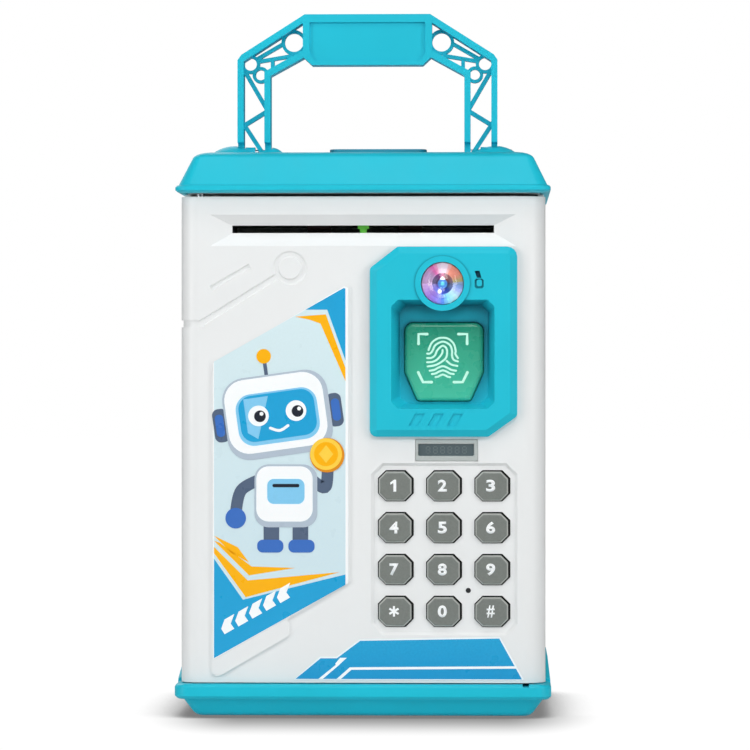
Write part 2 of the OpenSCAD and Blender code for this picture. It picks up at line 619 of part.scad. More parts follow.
module slanted_mark(x) polygon([[x, 104.6], [x + 3.6, 104.6], [x + 6, 109], [x + 2.4, 109]]);

module face_bezel() color(teal) difference() {
    union() {
        difference() {
            union() {
                slab_y(front_y - 2, front_y) polygon(face_outline);
                hull() {
                    slab_y(front_y - 2 - eps, front_y - 2) polygon(face_outline);
                    slab_y(face_front, face_front + eps) offset(r = -2.5) polygon(face_outline);
                }
                slab_y(front_y - 0.5, face_floor + 1.5) polygon(clipped_box(6.8, 104.8, 51.2, 164.5, 5));
            }
            hull() {
                slab_y(face_front - 1, face_front) polygon(recess_outline(10.3, 110.7, 47.2, 149.7));
                slab_y(face_floor - eps, face_floor) polygon(recess_outline(13.2, 112.6, 44.8, 147.8));
            }
        }
        rod_y(eye_x, eye_z, eye_r + 2.1, face_front - 0.6, front_y - 0.1);
    }
    rod_y(eye_x, eye_z, eye_r, face_front - 1, face_floor + 3);
    slab_y(face_floor - 1, face_floor + 3) polygon(shield(0.35));
    for (x = [16.4, 23.2, 30]) slab_y(face_front - 1, face_front + 0.6) slanted_mark(x);
    // Slot for the light sensor beside the lens, over a small island in a groove
    slab_y(face_front - 1, face_front + 1.6)
        polygon([[40.9, 157.5], [42.5, 157.5], [41.8, 160.1], [40.1, 159.9]]);
    slab_y(face_front - 1, face_front + 0.6) difference() {
        polygon(clipped_box(40.1, 153.7, 43.3, 157.2, 0.6));
        polygon(clipped_box(40.8, 154.4, 42.7, 156.9, 0.5));
    }
}

// Faceted clear dome over a chromed cup with a lamp at its bottom
module eye_lens() color([0.85, 0.70, 0.95, 0.6]) translate([eye_x, face_front + 3, eye_z]) rotate([90, 0, 0])
    rotate_extrude() polygon([[0, 0], [eye_r - 0.1, 0], [eye_r - 0.1, 1.2], [5.6, 2.3], [3.2, 3], [0, 3.2]]);

module eye_reflector() color("silver") translate([eye_x, face_floor + 1.2, eye_z]) rotate([90, 0, 0])
    rotate_extrude() polygon([[2.6, 0], [3.6, 0], [eye_r - 0.1, 3.4], [eye_r - 0.1, 5.1], [eye_r - 1, 5.1],
        [eye_r - 1.2, 3.8], [2.6, 0.6]]);

module eye_led() color("white") rod_y(eye_x, eye_z, 2.5, face_floor - 0.6, face_floor + 5.2);

module finger_button() color(jade) {
    slab_y(button_front + 0.8, face_floor + 2.4) polygon(shield(0));
    hull() {
        slab_y(button_front + 0.8, button_front + 0.8 + eps) polygon(shield(0));
        slab_y(button_front, button_front + eps) polygon(shield(-0.9));
    }
    slab_y(face_floor + 1.6, face_floor + 2.6) polygon(shield(1.4));
}

module button_switch() color([0.15, 0.15, 0.15]) {
    box([25.6, face_floor + 4.6, 124.5], [31.6, face_floor + 6.3, 130.5]);
    rod_y(28.6, 127.5, 1.7, face_floor + 4, face_floor + 4.7);
}

module display_window() color([0.55, 0.58, 0.58, 0.6])
    box([display_x - 10.75, front_y - 0.2, display_z - 3.85],
        [display_x + 11.55, front_y + 1.4, display_z + 3.85]);

module display_module() color([0.18, 0.22, 0.25])
    box([display_x - 10.1, front_y + 1.5, display_z - 2.4],
        [display_x + 10.1, skin_back + 2.6, display_z + 2.4]);

module front_sticker() color(sky) slab_y(front_y - 0.95, front_y - 0.8) polygon(sticker_outline);
module corner_sticker() color(strong_blue) slab_y(front_y - 0.15, front_y) polygon(corner_outline);

// ---------- keypad ----------

module key(i) color(key_grey) translate([keys_x + (i % 3 - 1)*key_dx, 0, keys_top - floor(i/3)*key_dz]) {
    slab_y(pad_y - 0.8, skin_back + 0.5) key_outline([0, 0], 0);
    hull() {
        slab_y(pad_y - 0.8, pad_y - 0.8 + eps) key_outline([0, 0], 0);
        slab_y(pad_y - 1.4, pad_y - 1.4 + eps) key_outline([-0.6, -0.6], -0.3);
    }
    slab_y(skin_back + 0.05, skin_back + 0.9) key_outline([1.2, 1.2], 0.4);
}

module keypad_mat() color([0.75, 0.75, 0.72]) {
    slab_y(skin_back + 2.4, skin_back + 3.2) translate([keys_x, 60.5]) square([49.5, 58], center = true);
    key_places() rod_y(0, 0, 3.6, skin_back + 0.95 + key_travel, skin_back + 2.5);
}

module keypad_board() color([0.10, 0.40, 0.20])
    box([keys_x - 25, skin_back + 3.2, 31.4], [keys_x + 25, skin_back + 4.6, 89.8]);

// ---------- electronics in the door ----------

module main_board() color([0.10, 0.40, 0.20]) {
    box([8, face_floor + 6.3, 106], [49, face_floor + 7.5, 146.5]);
    box([12, face_floor + 5, 110], [20, face_floor + 6.4, 118]);
}

module speaker() color([0.12, 0.12, 0.12]) {
    rod_y(-26, 112, 13, liner_y0 - 2.2, liner_y0);
    rod_y(-26, 112, 7, liner_y0 - 6, liner_y0 - 2);
}

module microphone() color([0.55, 0.55, 0.55]) rod_y(37.8, 45.6, 1.1, skin_back + 0.1, skin_back + 1.9);

module battery_cells() color([0.85, 0.60, 0.15]) for (z = battery_z) {
    rod_x(battery_y, z, battery_r, battery_x0, battery_x0 + battery_len - 1.2);
    rod_x(battery_y, z, 2.6, battery_x0 + battery_len - 1.3, battery_x0 + battery_len);
}

module battery_contacts() color("silver") for (z = battery_z) {
    box([bay[0] + 1.5, battery_y - 4, z - 5], [bay[0] + 1.9, battery_y + 4, z + 5]);
    rod_x(battery_y, z, 2.4, bay[0] + 1.8, battery_x0);
    box([bay[0] + bay[2] - 1.9, battery_y - 4, z - 5], [bay[0] + bay[2] - 1.5, battery_y + 4, z + 5]);
    rod_x(battery_y, z, 2.2, battery_x0 + battery_len, bay[0] + bay[2] - 1.8);
}

module battery_cover() color(white) difference() {
    union() {
        box([bay[0], bay_rear, bay[1]], [bay[0] + bay[2] + 9, bay_rear + 1.6, bay[1] + bay[3]]);
        for (x = [-42:4:-30]) box([x, bay_rear + 1.6, 46], [x + 1.6, bay_rear + 2.2, 66]);
    }
    box([bay[0] + bay[2], bay_rear - 1, bay[1] - 1], [bay[0] + bay[2] + 10, bay_rear + 3, 50]);
    box([bay[0] + bay[2], bay_rear - 1, 62], [bay[0] + bay[2] + 10, bay_rear + 3, bay[1] + bay[3] + 1]);
    rod_y(bay[0] + bay[2] + 4, 56, 1.5, bay_rear - 1, bay_rear + 3);
}

module battery_cover_screw() color("silver")
    translate([bay[0] + bay[2] + 4, bay_rear + 1.6, 56]) rotate([90, 0, 0]) screw(1.05, 9, 2.3);

// ---------- note feeder ----------

module feeder_frame() color([0.12, 0.12, 0.13]) difference() {
    union() {
        for (s = [0, 1]) mirror([s, 0, 0])
            box([plate_x, front_y + 5, motor_z - 9.5], [plate_x + plate_t, feed_rear - 2, 182.4]);
        box([-plate_x - 0.5, front_y + 5, note_z - 3.3], [plate_x + 0.5, feed_rear - 2, note_z - 1.9]);
        box([-plate_x - 0.5, front_y + 5, note_z + 1.9], [plate_x + 0.5, feed_rear - 2, note_z + 3]);
        for (x = [-4.6, 3.4]) box([x, lever_y - 2, note_z + 2.5], [x + 1.2, lever_y + 2, lever_z + 1.6]);
        box([24, motor_y - 9.4, motor_z - 9.5], [plate_x + 0.5, motor_y + 9.4, motor_z - 7.6]);
    }
    for (s = [-1, 1]) {
        box([s*roller_x - 4.8, shaft_y - 7.5, shaft_z], [s*roller_x + 4.8, shaft_y + 7.5, note_z]);
        box([s*roller_x - 4.8, shaft_y - 4.9, note_z], [s*roller_x + 4.8, shaft_y + 4.9, idler_z + 4]);
    }
    box([-3, lever_y - 2.5, note_z - 4], [3, lever_y + 7, note_z + 4]);
    rod_x(shaft_y, shaft_z, 1.55, -60, 60);
    rod_x(shaft_y, idler_z, 1.05, -60, 60);
    rod_x(lever_y, lever_z, 0.85, -8, 8);
    rod_x(motor_y, motor_z, 3.2, 40, 60);
}

module feed_motor() color([0.70, 0.70, 0.72]) difference() {
    union() {
        intersection() {
            rod_x(motor_y, motor_z, 10, 24.5, plate_x - 1);
            box([0, motor_y - 20, motor_z - 7.5], [60, motor_y + 20, motor_z + 7.5]);
        }
        rod_x(motor_y, motor_z, 3, plate_x - 1.1, plate_x + plate_t);
    }
    rod_x(motor_y, motor_z, 1.05, 40, 60);
}

module motor_pinion() color("white") {
    slab_x(gear_x, gear_x + gear_face) translate([motor_y, motor_z]) rotate(gear_angle)
        polygon(gear_outline(pinion_teeth, gear_m, 0.1, 180 + 180/pinion_teeth));
    rod_x(motor_y, motor_z, 1, 40.5, gear_x + 0.5);
}

module feed_shaft() color("silver") rod_x(shaft_y, shaft_z, 1.5, -plate_x - plate_t, gear_x + gear_face);

module feed_rollers() color([0.35, 0.25, 0.25]) for (s = [-1, 1]) difference() {
    rod_x(shaft_y, shaft_z, roller_r, s*roller_x - roller_w/2, s*roller_x + roller_w/2);
    rod_x(shaft_y, shaft_z, 1.5, -60, 60);
}

module feed_gear() color("white") slab_x(gear_x, gear_x + gear_face) difference() {
    translate([shaft_y, shaft_z]) rotate(gear_angle) polygon(gear_outline(gear_teeth, gear_m, 0.1, 0));
    translate([shaft_y, shaft_z]) circle(1.5);
}

module idler_shaft() color("silver") rod_x(shaft_y, idler_z, 1, -plate_x - plate_t, plate_x + plate_t);

module idler_rollers() color([0.35, 0.25, 0.25]) for (s = [-1, 1]) difference() {
    rod_x(shaft_y, idler_z, idler_r, s*roller_x - roller_w/2, s*roller_x + roller_w/2);
    rod_x(shaft_y, idler_z, 1, -60, 60);
}

// Green feeler that hangs in the note path
module note_lever() color([0.35, 0.75, 0.20]) {
    rod_x(lever_y, lever_z, 1.6, -2.6, 2.6);
    rod_x(lever_y, lever_z, 0.8, -4.5, 4.5);
    box([-2, lever_y - 0.7, note_z + 0.2], [2, lever_y + 0.7, lever_z]);
    box([-1.2, lever_y - 0.7, note_z - 2.8], [1.2, lever_y + 0.7, note_z + 0.3]);
}

// ---------- latch ----------

module latch_motor() color([0.70, 0.70, 0.72]) {
    box([latch_x - 3.2, liner_y0 - 8, latch_z - 6.5], [latch_x + 6.4, liner_y0, latch_z + 4]);
    rod_y(latch_x, latch_z, 1.2, liner_y0 - 0.1, liner_y0 + 0.8);
}

module latch_lever() color([0.90, 0.90, 0.90]) {
    rod_y(latch_x, latch_z, 2.2, liner_y0 + 1, latch_y0 + latch_t);
    rod_y(latch_x, latch_z, 3, latch_y0, latch_y0 + latch_t);
    box([latch_x - 1.8, latch_y0, latch_z - latch_len], [latch_x + 1.8, latch_y0 + latch_t, latch_z]);
}

// ---------- what is drawn ----------

base_tray();
bottom_plate();
base_screws();
foot_pads();
body_shell();
latch_keeper();
door_hinge_pins();
lid_cover();
lid_screws();
coin_slot_insert();
left_handle_socket();
right_handle_socket();
handle_pins();
handle_frame();
door_shell();
door_liner();
door_screws();
face_bezel();
eye_lens();
eye_reflector();
eye_led();
finger_button();
button_switch();
display_window();
display_module();
front_sticker();
corner_sticker();
keypad_mat();
keypad_board();
main_board();
speaker();
microphone();
battery_cells();
battery_contacts();
battery_cover();
battery_cover_screw();
feeder_frame();
feed_motor();
motor_pinion();
feed_shaft();
feed_rollers();
feed_gear();
idler_shaft();
idler_rollers();
note_lever();
latch_motor();
latch_lever();
for (i = [0:11]) key(i);
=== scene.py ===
"""Looks of the toy cash-machine money bank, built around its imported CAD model.

Lengths are written in millimetres in the row frame (+X right, +Y back, +Z up) and turned into metres by MM.
"""

import math

import bmesh
import bpy
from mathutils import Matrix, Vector


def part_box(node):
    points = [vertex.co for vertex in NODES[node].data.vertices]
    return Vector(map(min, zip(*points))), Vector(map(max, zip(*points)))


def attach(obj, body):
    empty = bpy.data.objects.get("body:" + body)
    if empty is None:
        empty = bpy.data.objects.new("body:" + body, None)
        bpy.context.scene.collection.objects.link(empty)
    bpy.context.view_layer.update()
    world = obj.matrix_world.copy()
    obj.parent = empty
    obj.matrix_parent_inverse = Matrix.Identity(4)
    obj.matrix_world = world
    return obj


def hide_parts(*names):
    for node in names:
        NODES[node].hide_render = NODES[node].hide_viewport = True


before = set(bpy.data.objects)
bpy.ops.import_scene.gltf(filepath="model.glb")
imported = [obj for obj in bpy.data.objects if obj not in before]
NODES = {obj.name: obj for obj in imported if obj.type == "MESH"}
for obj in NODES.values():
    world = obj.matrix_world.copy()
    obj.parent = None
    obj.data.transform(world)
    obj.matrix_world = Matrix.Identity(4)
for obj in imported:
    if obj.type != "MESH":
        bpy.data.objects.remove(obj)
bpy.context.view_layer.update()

MM = 0.001

CAMERA_PLACE = (0.047, -1.4575, 0.1228)    # metres, level with the middle of the bank
CAMERA_AIM = (0.0044, -0.0575, 0.1228)
CAMERA_LENS = 187.7
FLOOR_RADIUS = 6.0


# ---------- camera, light and stage ----------


def add_camera():
    """Level camera in front of the bank and a little to its right, looking slightly to the left."""
    data = bpy.data.cameras.new("camera")
    data.lens = CAMERA_LENS
    data.sensor_width = 36
    camera = bpy.data.objects.new("camera", data)
    bpy.context.scene.collection.objects.link(camera)
    camera.location = CAMERA_PLACE
    aim = Vector(CAMERA_AIM) - camera.location
    camera.rotation_euler = aim.to_track_quat("-Z", "Y").to_euler()
    bpy.context.scene.camera = camera


def add_area(name, place, target, size, watts, tint=(1, 1, 1)):
    data = bpy.data.lights.new(name, "AREA")
    data.shape = "RECTANGLE"
    data.size, data.size_y = size
    data.energy = watts
    data.color = tint
    light = bpy.data.objects.new(name, data)
    bpy.context.scene.collection.objects.link(light)
    light.location = place
    light.rotation_euler = (Vector(target) - Vector(place)).to_track_quat("-Z", "Y").to_euler()


def add_world(seen, lighting):
    """White surroundings: 'seen' is what the camera sees behind the bank, 'lighting' is what lights it."""
    world = bpy.data.worlds.new("studio")
    bpy.context.scene.world = world
    world.use_nodes = True
    tree = world.node_tree
    background = tree.nodes["Background"]
    background.inputs["Color"].default_value = (1, 1, 1, 1)
    path = tree.nodes.new("ShaderNodeLightPath")
    level = tree.nodes.new("ShaderNodeMapRange")
    level.inputs["To Min"].default_value = lighting
    level.inputs["To Max"].default_value = seen
    tree.links.new(path.outputs["Is Camera Ray"], level.inputs["Value"])
    tree.links.new(level.outputs["Result"], background.inputs["Strength"])


SHADOW_MIDDLE = (0.004, -0.052)    # under the foot of the bank's front, in metres
SHADOW_HALF_WIDTH = 0.046          # the part of it that doesn't fade to the sides
SHADOW_FADE_ASIDE = 0.038
SHADOW_FADE_AHEAD = 0.085
SHADOW_FADE_BEHIND = 0.03


def soft_shadow(tree):
    """Brightness of the floor round the foot of the bank's front."""
    x, y = SHADOW_MIDDLE

    def math_node(operation, a, b=0.0):
        made = tree.nodes.new("ShaderNodeMath")
        made.operation = operation
        for socket, value in zip(made.inputs, (a, b)):
            if isinstance(value, float):
                socket.default_value = value
            else:
                tree.links.new(value, socket)
        return made.outputs[0]

    split = tree.nodes.new("ShaderNodeSeparateXYZ")
    tree.links.new(tree.nodes.new("ShaderNodeTexCoord").outputs["Object"], split.inputs[0])
    aside = math_node("ABSOLUTE", math_node("SUBTRACT", split.outputs["X"], x))
    aside = math_node("MAXIMUM", math_node("SUBTRACT", aside, SHADOW_HALF_WIDTH), 0.0)
    aside = math_node("DIVIDE", aside, SHADOW_FADE_ASIDE)
    ahead = math_node("SUBTRACT", y, split.outputs["Y"])
    ahead = math_node("MAXIMUM", math_node("DIVIDE", ahead, SHADOW_FADE_AHEAD),
                      math_node("DIVIDE", ahead, -SHADOW_FADE_BEHIND))
    away = math_node("ADD", math_node("POWER", aside, 2.0), math_node("POWER", ahead, 2.0))
    away = math_node("SQRT", away)
    fade = tree.nodes.new("ShaderNodeMapRange")
    fade.interpolation_type = "SMOOTHSTEP"
    fade.inputs["From Min"].default_value = 0.0
    fade.inputs["From Max"].default_value = 1.0
    fade.inputs["To Min"].default_value = 0.3
    fade.inputs["To Max"].default_value = 1.02
    tree.links.new(away, fade.inputs["Value"])
    return fade.outputs["Result"]


def add_floor(radius):
    """White floor. It is seen as pure white, with a dark line under the bank and a soft shadow before it."""
    mesh = bpy.data.meshes.new("floor")
    steps = 96
    ring = [(radius * math.cos(2 * math.pi * i / steps), radius * math.sin(2 * math.pi * i / steps), 0)
            for i in range(steps)]
    mesh.from_pydata(ring, [], [range(steps)])
    floor = bpy.data.objects.new("floor", mesh)
    bpy.context.scene.collection.objects.link(floor)
    mat = bpy.data.materials.new("floor")
    mat.use_nodes = True
    tree = mat.node_tree
    tree.nodes.clear()
    near = tree.nodes.new("ShaderNodeAmbientOcclusion")
    near.samples = 12
    near.inputs["Distance"].default_value = 0.025
    level = tree.nodes.new("ShaderNodeMapRange")
    level.interpolation_type = "SMOOTHSTEP"
    level.inputs["From Min"].default_value = 0.3
    level.inputs["From Max"].default_value = 0.94
    level.inputs["To Min"].default_value = 0.2
    level.inputs["To Max"].default_value = 1.02
    glow = tree.nodes.new("ShaderNodeEmission")
    matt = tree.nodes.new("ShaderNodeBsdfDiffuse")
    matt.inputs["Color"].default_value = (0.85, 0.85, 0.85, 1)
    path = tree.nodes.new("ShaderNodeLightPath")
    mix = tree.nodes.new("ShaderNodeMixShader")
    out = tree.nodes.new("ShaderNodeOutputMaterial")
    tree.links.new(near.outputs["AO"], level.inputs["Value"])
    soft = soft_shadow(tree)
    least = tree.nodes.new("ShaderNodeMath")
    least.operation = "MINIMUM"
    tree.links.new(level.outputs["Result"], least.inputs[0])
    tree.links.new(soft, least.inputs[1])
    tree.links.new(least.outputs[0], glow.inputs["Strength"])
    tree.links.new(path.outputs["Is Camera Ray"], mix.inputs[0])
    tree.links.new(matt.outputs[0], mix.inputs[1])
    tree.links.new(glow.outputs[0], mix.inputs[2])
    tree.links.new(mix.outputs[0], out.inputs["Surface"])
    mesh.materials.append(mat)


def add_studio():
    middle = (0, 0, 0.12)
    add_world(1.0, 0.1)
    add_floor(FLOOR_RADIUS)
    add_area("key_light", (0.12, -1.35, 0.85), middle, (0.7, 0.5), 5.9)
    add_area("high_light", (0.1, -0.75, 1.5), middle, (0.7, 0.5), 5.5)
    add_area("left_light", (-1.3, -0.9, 0.5), middle, (0.5, 1.0), 8.5)
    add_area("right_light", (1.3, -0.9, 0.5), middle, (0.5, 1.0), 7.5)
    add_area("rear_light", (-0.6, 1.4, 1.0), middle, (1.2, 1.0), 7)


add_camera()
add_studio()
bpy.context.scene.view_settings.view_transform = "Standard"


# ---------- materials ----------


def linear(rgb):
    """Scene colour of an sRGB colour given in 0 to 255."""
    parts = [c / 255 for c in rgb]
    return tuple(c / 12.92 if c <= 0.04045 else ((c + 0.055) / 1.055) ** 2.4 for c in parts) + (1,)


def shade(rgb, factor):
    return tuple(min(255, c * factor) for c in rgb)


class Paint:
    """One Principled material and the nodes that feed it."""

    def __init__(self, name, **sockets):
        self.mat = bpy.data.materials.new(name)
        self.mat.use_nodes = True
        self.tree = self.mat.node_tree
        self.surface = self.tree.nodes["Principled BSDF"]
        self.place = self.add("ShaderNodeTexCoord").outputs["Object"]
        self.set(**sockets)

    def set(self, **sockets):
        for name, value in sockets.items():
            self.surface.inputs[name.replace("_", " ")].default_value = value
        return self

    def add(self, kind, inputs=None, **settings):
        made = self.tree.nodes.new(kind)
        for name, value in settings.items():
            setattr(made, name, value)
        for name, value in (inputs or {}).items():
            if isinstance(value, bpy.types.NodeSocket):
                self.tree.links.new(value, made.inputs[name])
            else:
                made.inputs[name].default_value = value
        return made

    def feed(self, output, socket):
        self.tree.links.new(output, self.surface.inputs[socket])
        return self

    def noise(self, size, detail=2.0, roughness=0.5, place=None):
        """Noise whose features are about 'size' millimetres across."""
        made = self.add("ShaderNodeTexNoise", {"Vector": place or self.place, "Scale": 1 / (size * MM),
                                               "Detail": detail, "Roughness": roughness})
        return made.outputs["Fac"]

    def span(self, value, low, high, from_low=0.3, from_high=0.7):
        made = self.add("ShaderNodeMapRange", {"Value": value, "From Min": from_low, "From Max": from_high,
                                               "To Min": low, "To Max": high})
        return made.outputs["Result"]

    def blend(self, factor, a, b):
        made = self.add("ShaderNodeMix", {"Factor": factor}, data_type="RGBA")
        for slot, value in ((6, a), (7, b)):
            if isinstance(value, bpy.types.NodeSocket):
                self.tree.links.new(value, made.inputs[slot])
            else:
                made.inputs[slot].default_value = value
        return made.outputs[2]

    def math(self, operation, a, b=0.0):
        made = self.add("ShaderNodeMath", operation=operation)
        for slot, value in ((0, a), (1, b)):
            if isinstance(value, bpy.types.NodeSocket):
                self.tree.links.new(value, made.inputs[slot])
            else:
                made.inputs[slot].default_value = value
        return made.outputs[0]

    def bump(self, *layers):
        """Each layer is (height output, distance in millimetres)."""
        normal = None
        for height, distance in layers:
            inputs = {"Height": height, "Distance": distance * MM, "Strength": 1.0}
            if normal:
                inputs["Normal"] = normal
            normal = self.add("ShaderNodeBump", inputs).outputs["Normal"]
        return self.feed(normal, "Normal")


def moulded_paint(name, rgb, roughness=0.38, vary=0.03, grain=0.35, relief=0.006, flow=0.02, **sockets):
    """Injection-moulded plastic: faint flow shading, a fine satin grain and a slightly uneven gloss.

    Gives the paint and the output that holds its colour."""
    paint = Paint(name, **sockets)
    cloud = paint.noise(34, 3)
    colour = paint.blend(cloud, linear(shade(rgb, 1 - vary)), linear(shade(rgb, 1 + vary)))
    paint.feed(colour, "Base Color")
    fine = paint.noise(grain, 2)
    paint.feed(paint.span(paint.noise(9, 4), roughness - 0.04, roughness + 0.05), "Roughness")
    paint.bump((fine, relief), (paint.noise(14, 1), flow))
    return paint, colour


def moulded(name, rgb, *finish, **sockets):
    return moulded_paint(name, rgb, *finish, **sockets)[0].mat


def shade_painted_in_hollows(name, rgb, deep, reach, low, high, **sockets):
    """Moulded plastic with painted shade: its colour darkens in hollows about 'reach' wide, from height 'low'
    to 'high' (mm), where the recess is in shadow.
    """
    paint, plain = moulded_paint(name, rgb, **sockets)
    # painted shade: the colour darkens where the hollow hides the open sky
    open_sky = paint.add("ShaderNodeAmbientOcclusion", {"Distance": reach * MM}, samples=8)
    open_part = paint.span(open_sky.outputs["AO"], 0, 1, 0.35, 0.8)
    height = paint.add("ShaderNodeSeparateXYZ", {"Vector": paint.place}).outputs["Z"]
    low_part = paint.span(height, 1, 0, low * MM, high * MM)
    unshaded_part = paint.math("MAXIMUM", open_part, low_part)
    return paint.feed(paint.blend(unshaded_part, linear(deep), plain), "Base Color").mat


def rubber(name, rgb):
    paint = Paint(name, Specular_IOR_Level=0.3)
    speck = paint.noise(0.5, 3)
    paint.feed(paint.blend(speck, linear(shade(rgb, 0.8)), linear(shade(rgb, 1.2))), "Base Color")
    paint.feed(paint.span(speck, 0.62, 0.85), "Roughness")
    paint.bump((speck, 0.03))
    return paint.mat


def metal(name, rgb, roughness, grain=0.25, relief=0.004):
    """Plated or drawn metal with fine scratches and a little tarnish."""
    paint = Paint(name, Metallic=1.0)
    tarnish = paint.noise(3, 4)
    paint.feed(paint.blend(tarnish, linear(shade(rgb, 0.86)), linear(shade(rgb, 1.06))), "Base Color")
    paint.feed(paint.span(paint.noise(1.2, 5), roughness - 0.06, roughness + 0.1), "Roughness")
    paint.bump((paint.noise(grain, 2), relief))
    return paint.mat


def printed(name, rgb, rgb_low=None, low=0, high=1, dots=0.012):
    """Glossy printed film with a faint painted glow in its own colour. Its colour may run from rgb_low at
    height 'low' to rgb at 'high', in mm.
    """
    paint = Paint(name, Coat_Weight=0.15, Coat_Roughness=0.12, Specular_IOR_Level=0.3, Emission_Strength=0.09)
    colour = linear(rgb)
    if rgb_low:
        height = paint.add("ShaderNodeSeparateXYZ", {"Vector": paint.place}).outputs["Z"]
        colour = paint.blend(paint.span(height, 0, 1, low * MM, high * MM), linear(rgb_low), colour)
    ink = paint.noise(0.8, 2)
    darker = paint.blend(0.5, colour, linear(shade(rgb, 1 - 2 * dots)))
    colour = paint.blend(paint.span(ink, 0, 1), darker, colour)
    # the colour also feeds a faint glow: painted light on the print
    paint.feed(colour, "Base Color").feed(colour, "Emission Color")
    paint.feed(paint.span(paint.noise(6, 3), 0.26, 0.38), "Roughness")
    paint.bump((paint.noise(5, 2), 0.012))
    return paint.mat


def clear(name, rgb, roughness, ior=1.49, **sockets):
    paint = Paint(name, Base_Color=linear(rgb), Transmission_Weight=1.0, IOR=ior, **sockets)
    paint.feed(paint.span(paint.noise(4, 3), roughness, roughness + 0.03), "Roughness")
    paint.bump((paint.noise(6, 1), 0.004))
    return paint.mat


def jade_with_painted_shade(low, high):
    """Tinted translucent plastic with painted shade and light: darker green at the top of the button, in the
    bezel's shadow, pale green at its lit foot.
    """
    paint = Paint("jade_button", Subsurface_Weight=0.25, Subsurface_Radius=(0.002, 0.004, 0.003),
                  Subsurface_Scale=0.6, Specular_IOR_Level=0.5)
    # painted shade and light: the colour runs with height, darker towards the top
    height = paint.add("ShaderNodeSeparateXYZ", {"Vector": paint.place}).outputs["Z"]
    along = paint.span(height, 0, 1, low, high)
    ramp = paint.add("ShaderNodeValToRGB", {"Fac": along})
    stops = ramp.color_ramp
    stops.elements[0].color = linear((72, 200, 168))
    stops.elements[1].color = linear((4, 132, 104))
    middle = stops.elements.new(0.62)
    middle.color = linear((52, 170, 138))
    cloud = paint.noise(16, 1)
    paint.feed(paint.blend(paint.span(cloud, 0, 0.04), ramp.outputs["Color"], linear((120, 215, 190))),
               "Base Color")
    paint.feed(paint.span(paint.noise(5, 3), 0.22, 0.34), "Roughness")
    paint.bump((paint.noise(0.4, 2), 0.004))
    return paint.mat


def circuit_material():
    """Green solder mask over copper tracks."""
    paint = Paint("circuit_board", Specular_IOR_Level=0.5)
    tracks = paint.add("ShaderNodeTexBrick", {"Vector": paint.place, "Scale": 120.0, "Mortar Size": 0.03,
                                              "Color1": linear((20, 92, 52)), "Color2": linear((16, 80, 44)),
                                              "Mortar": linear((46, 130, 70))})
    paint.feed(tracks.outputs["Color"], "Base Color")
    paint.feed(paint.span(paint.noise(3, 3), 0.28, 0.45), "Roughness")
    paint.bump((tracks.outputs["Fac"], 0.02))
    return paint.mat


def battery_material(x_low, x_high):
    """Shrink-wrapped cell: a black sleeve with a copper-coloured end."""
    paint = Paint("battery_wrap", Coat_Weight=0.4, Coat_Roughness=0.15)
    along = paint.add("ShaderNodeSeparateXYZ", {"Vector": paint.place}).outputs["X"]
    band = paint.math("GREATER_THAN", along, x_low + 0.7 * (x_high - x_low))
    worn = paint.noise(2, 4)
    sleeve = paint.blend(worn, linear((26, 27, 30)), linear((40, 41, 45)))
    paint.feed(paint.blend(band, sleeve, linear((196, 126, 58))), "Base Color")
    paint.feed(paint.span(worn, 0.25, 0.4), "Roughness")
    paint.feed(paint.math("MULTIPLY", band, 0.7), "Metallic")
    paint.bump((worn, 0.01))
    return paint.mat


def key_material(front):
    """Grey satin keys with painted highlights on their bevels and painted shade, nearly black, where they go
    down into their holes.

    'front' is the Y of the keys' faces in metres."""
    paint = Paint("key_plastic", Specular_IOR_Level=0.5)
    fleck = paint.noise(0.6, 3)
    top = paint.blend(fleck, linear((112, 117, 113)), linear((130, 135, 130)))
    depth = paint.add("ShaderNodeSeparateXYZ", {"Vector": paint.place}).outputs["Y"]
    # painted highlight: the bevels are paler, as if catching the light
    bevel_highlight = paint.span(depth, 0, 1, front + 0.1 * MM, front + 0.25 * MM)
    top = paint.blend(bevel_highlight, top, linear((176, 180, 175)))
    # painted shade: nearly black further in, where the holes lie in shadow
    sunk_shade = paint.span(depth, 0, 1, front + 0.75 * MM, front + 1.1 * MM)
    paint.feed(paint.blend(sunk_shade, top, linear((12, 14, 14))), "Base Color")
    paint.feed(paint.span(paint.noise(4, 3), 0.3, 0.42), "Roughness")
    paint.bump((paint.noise(0.3, 2), 0.008))
    return paint.mat


sticker_low, sticker_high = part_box("front_sticker")
button_low, button_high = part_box("finger_button")
cell_low, cell_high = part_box("battery_cells")
key_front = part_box("key_5")[0].y

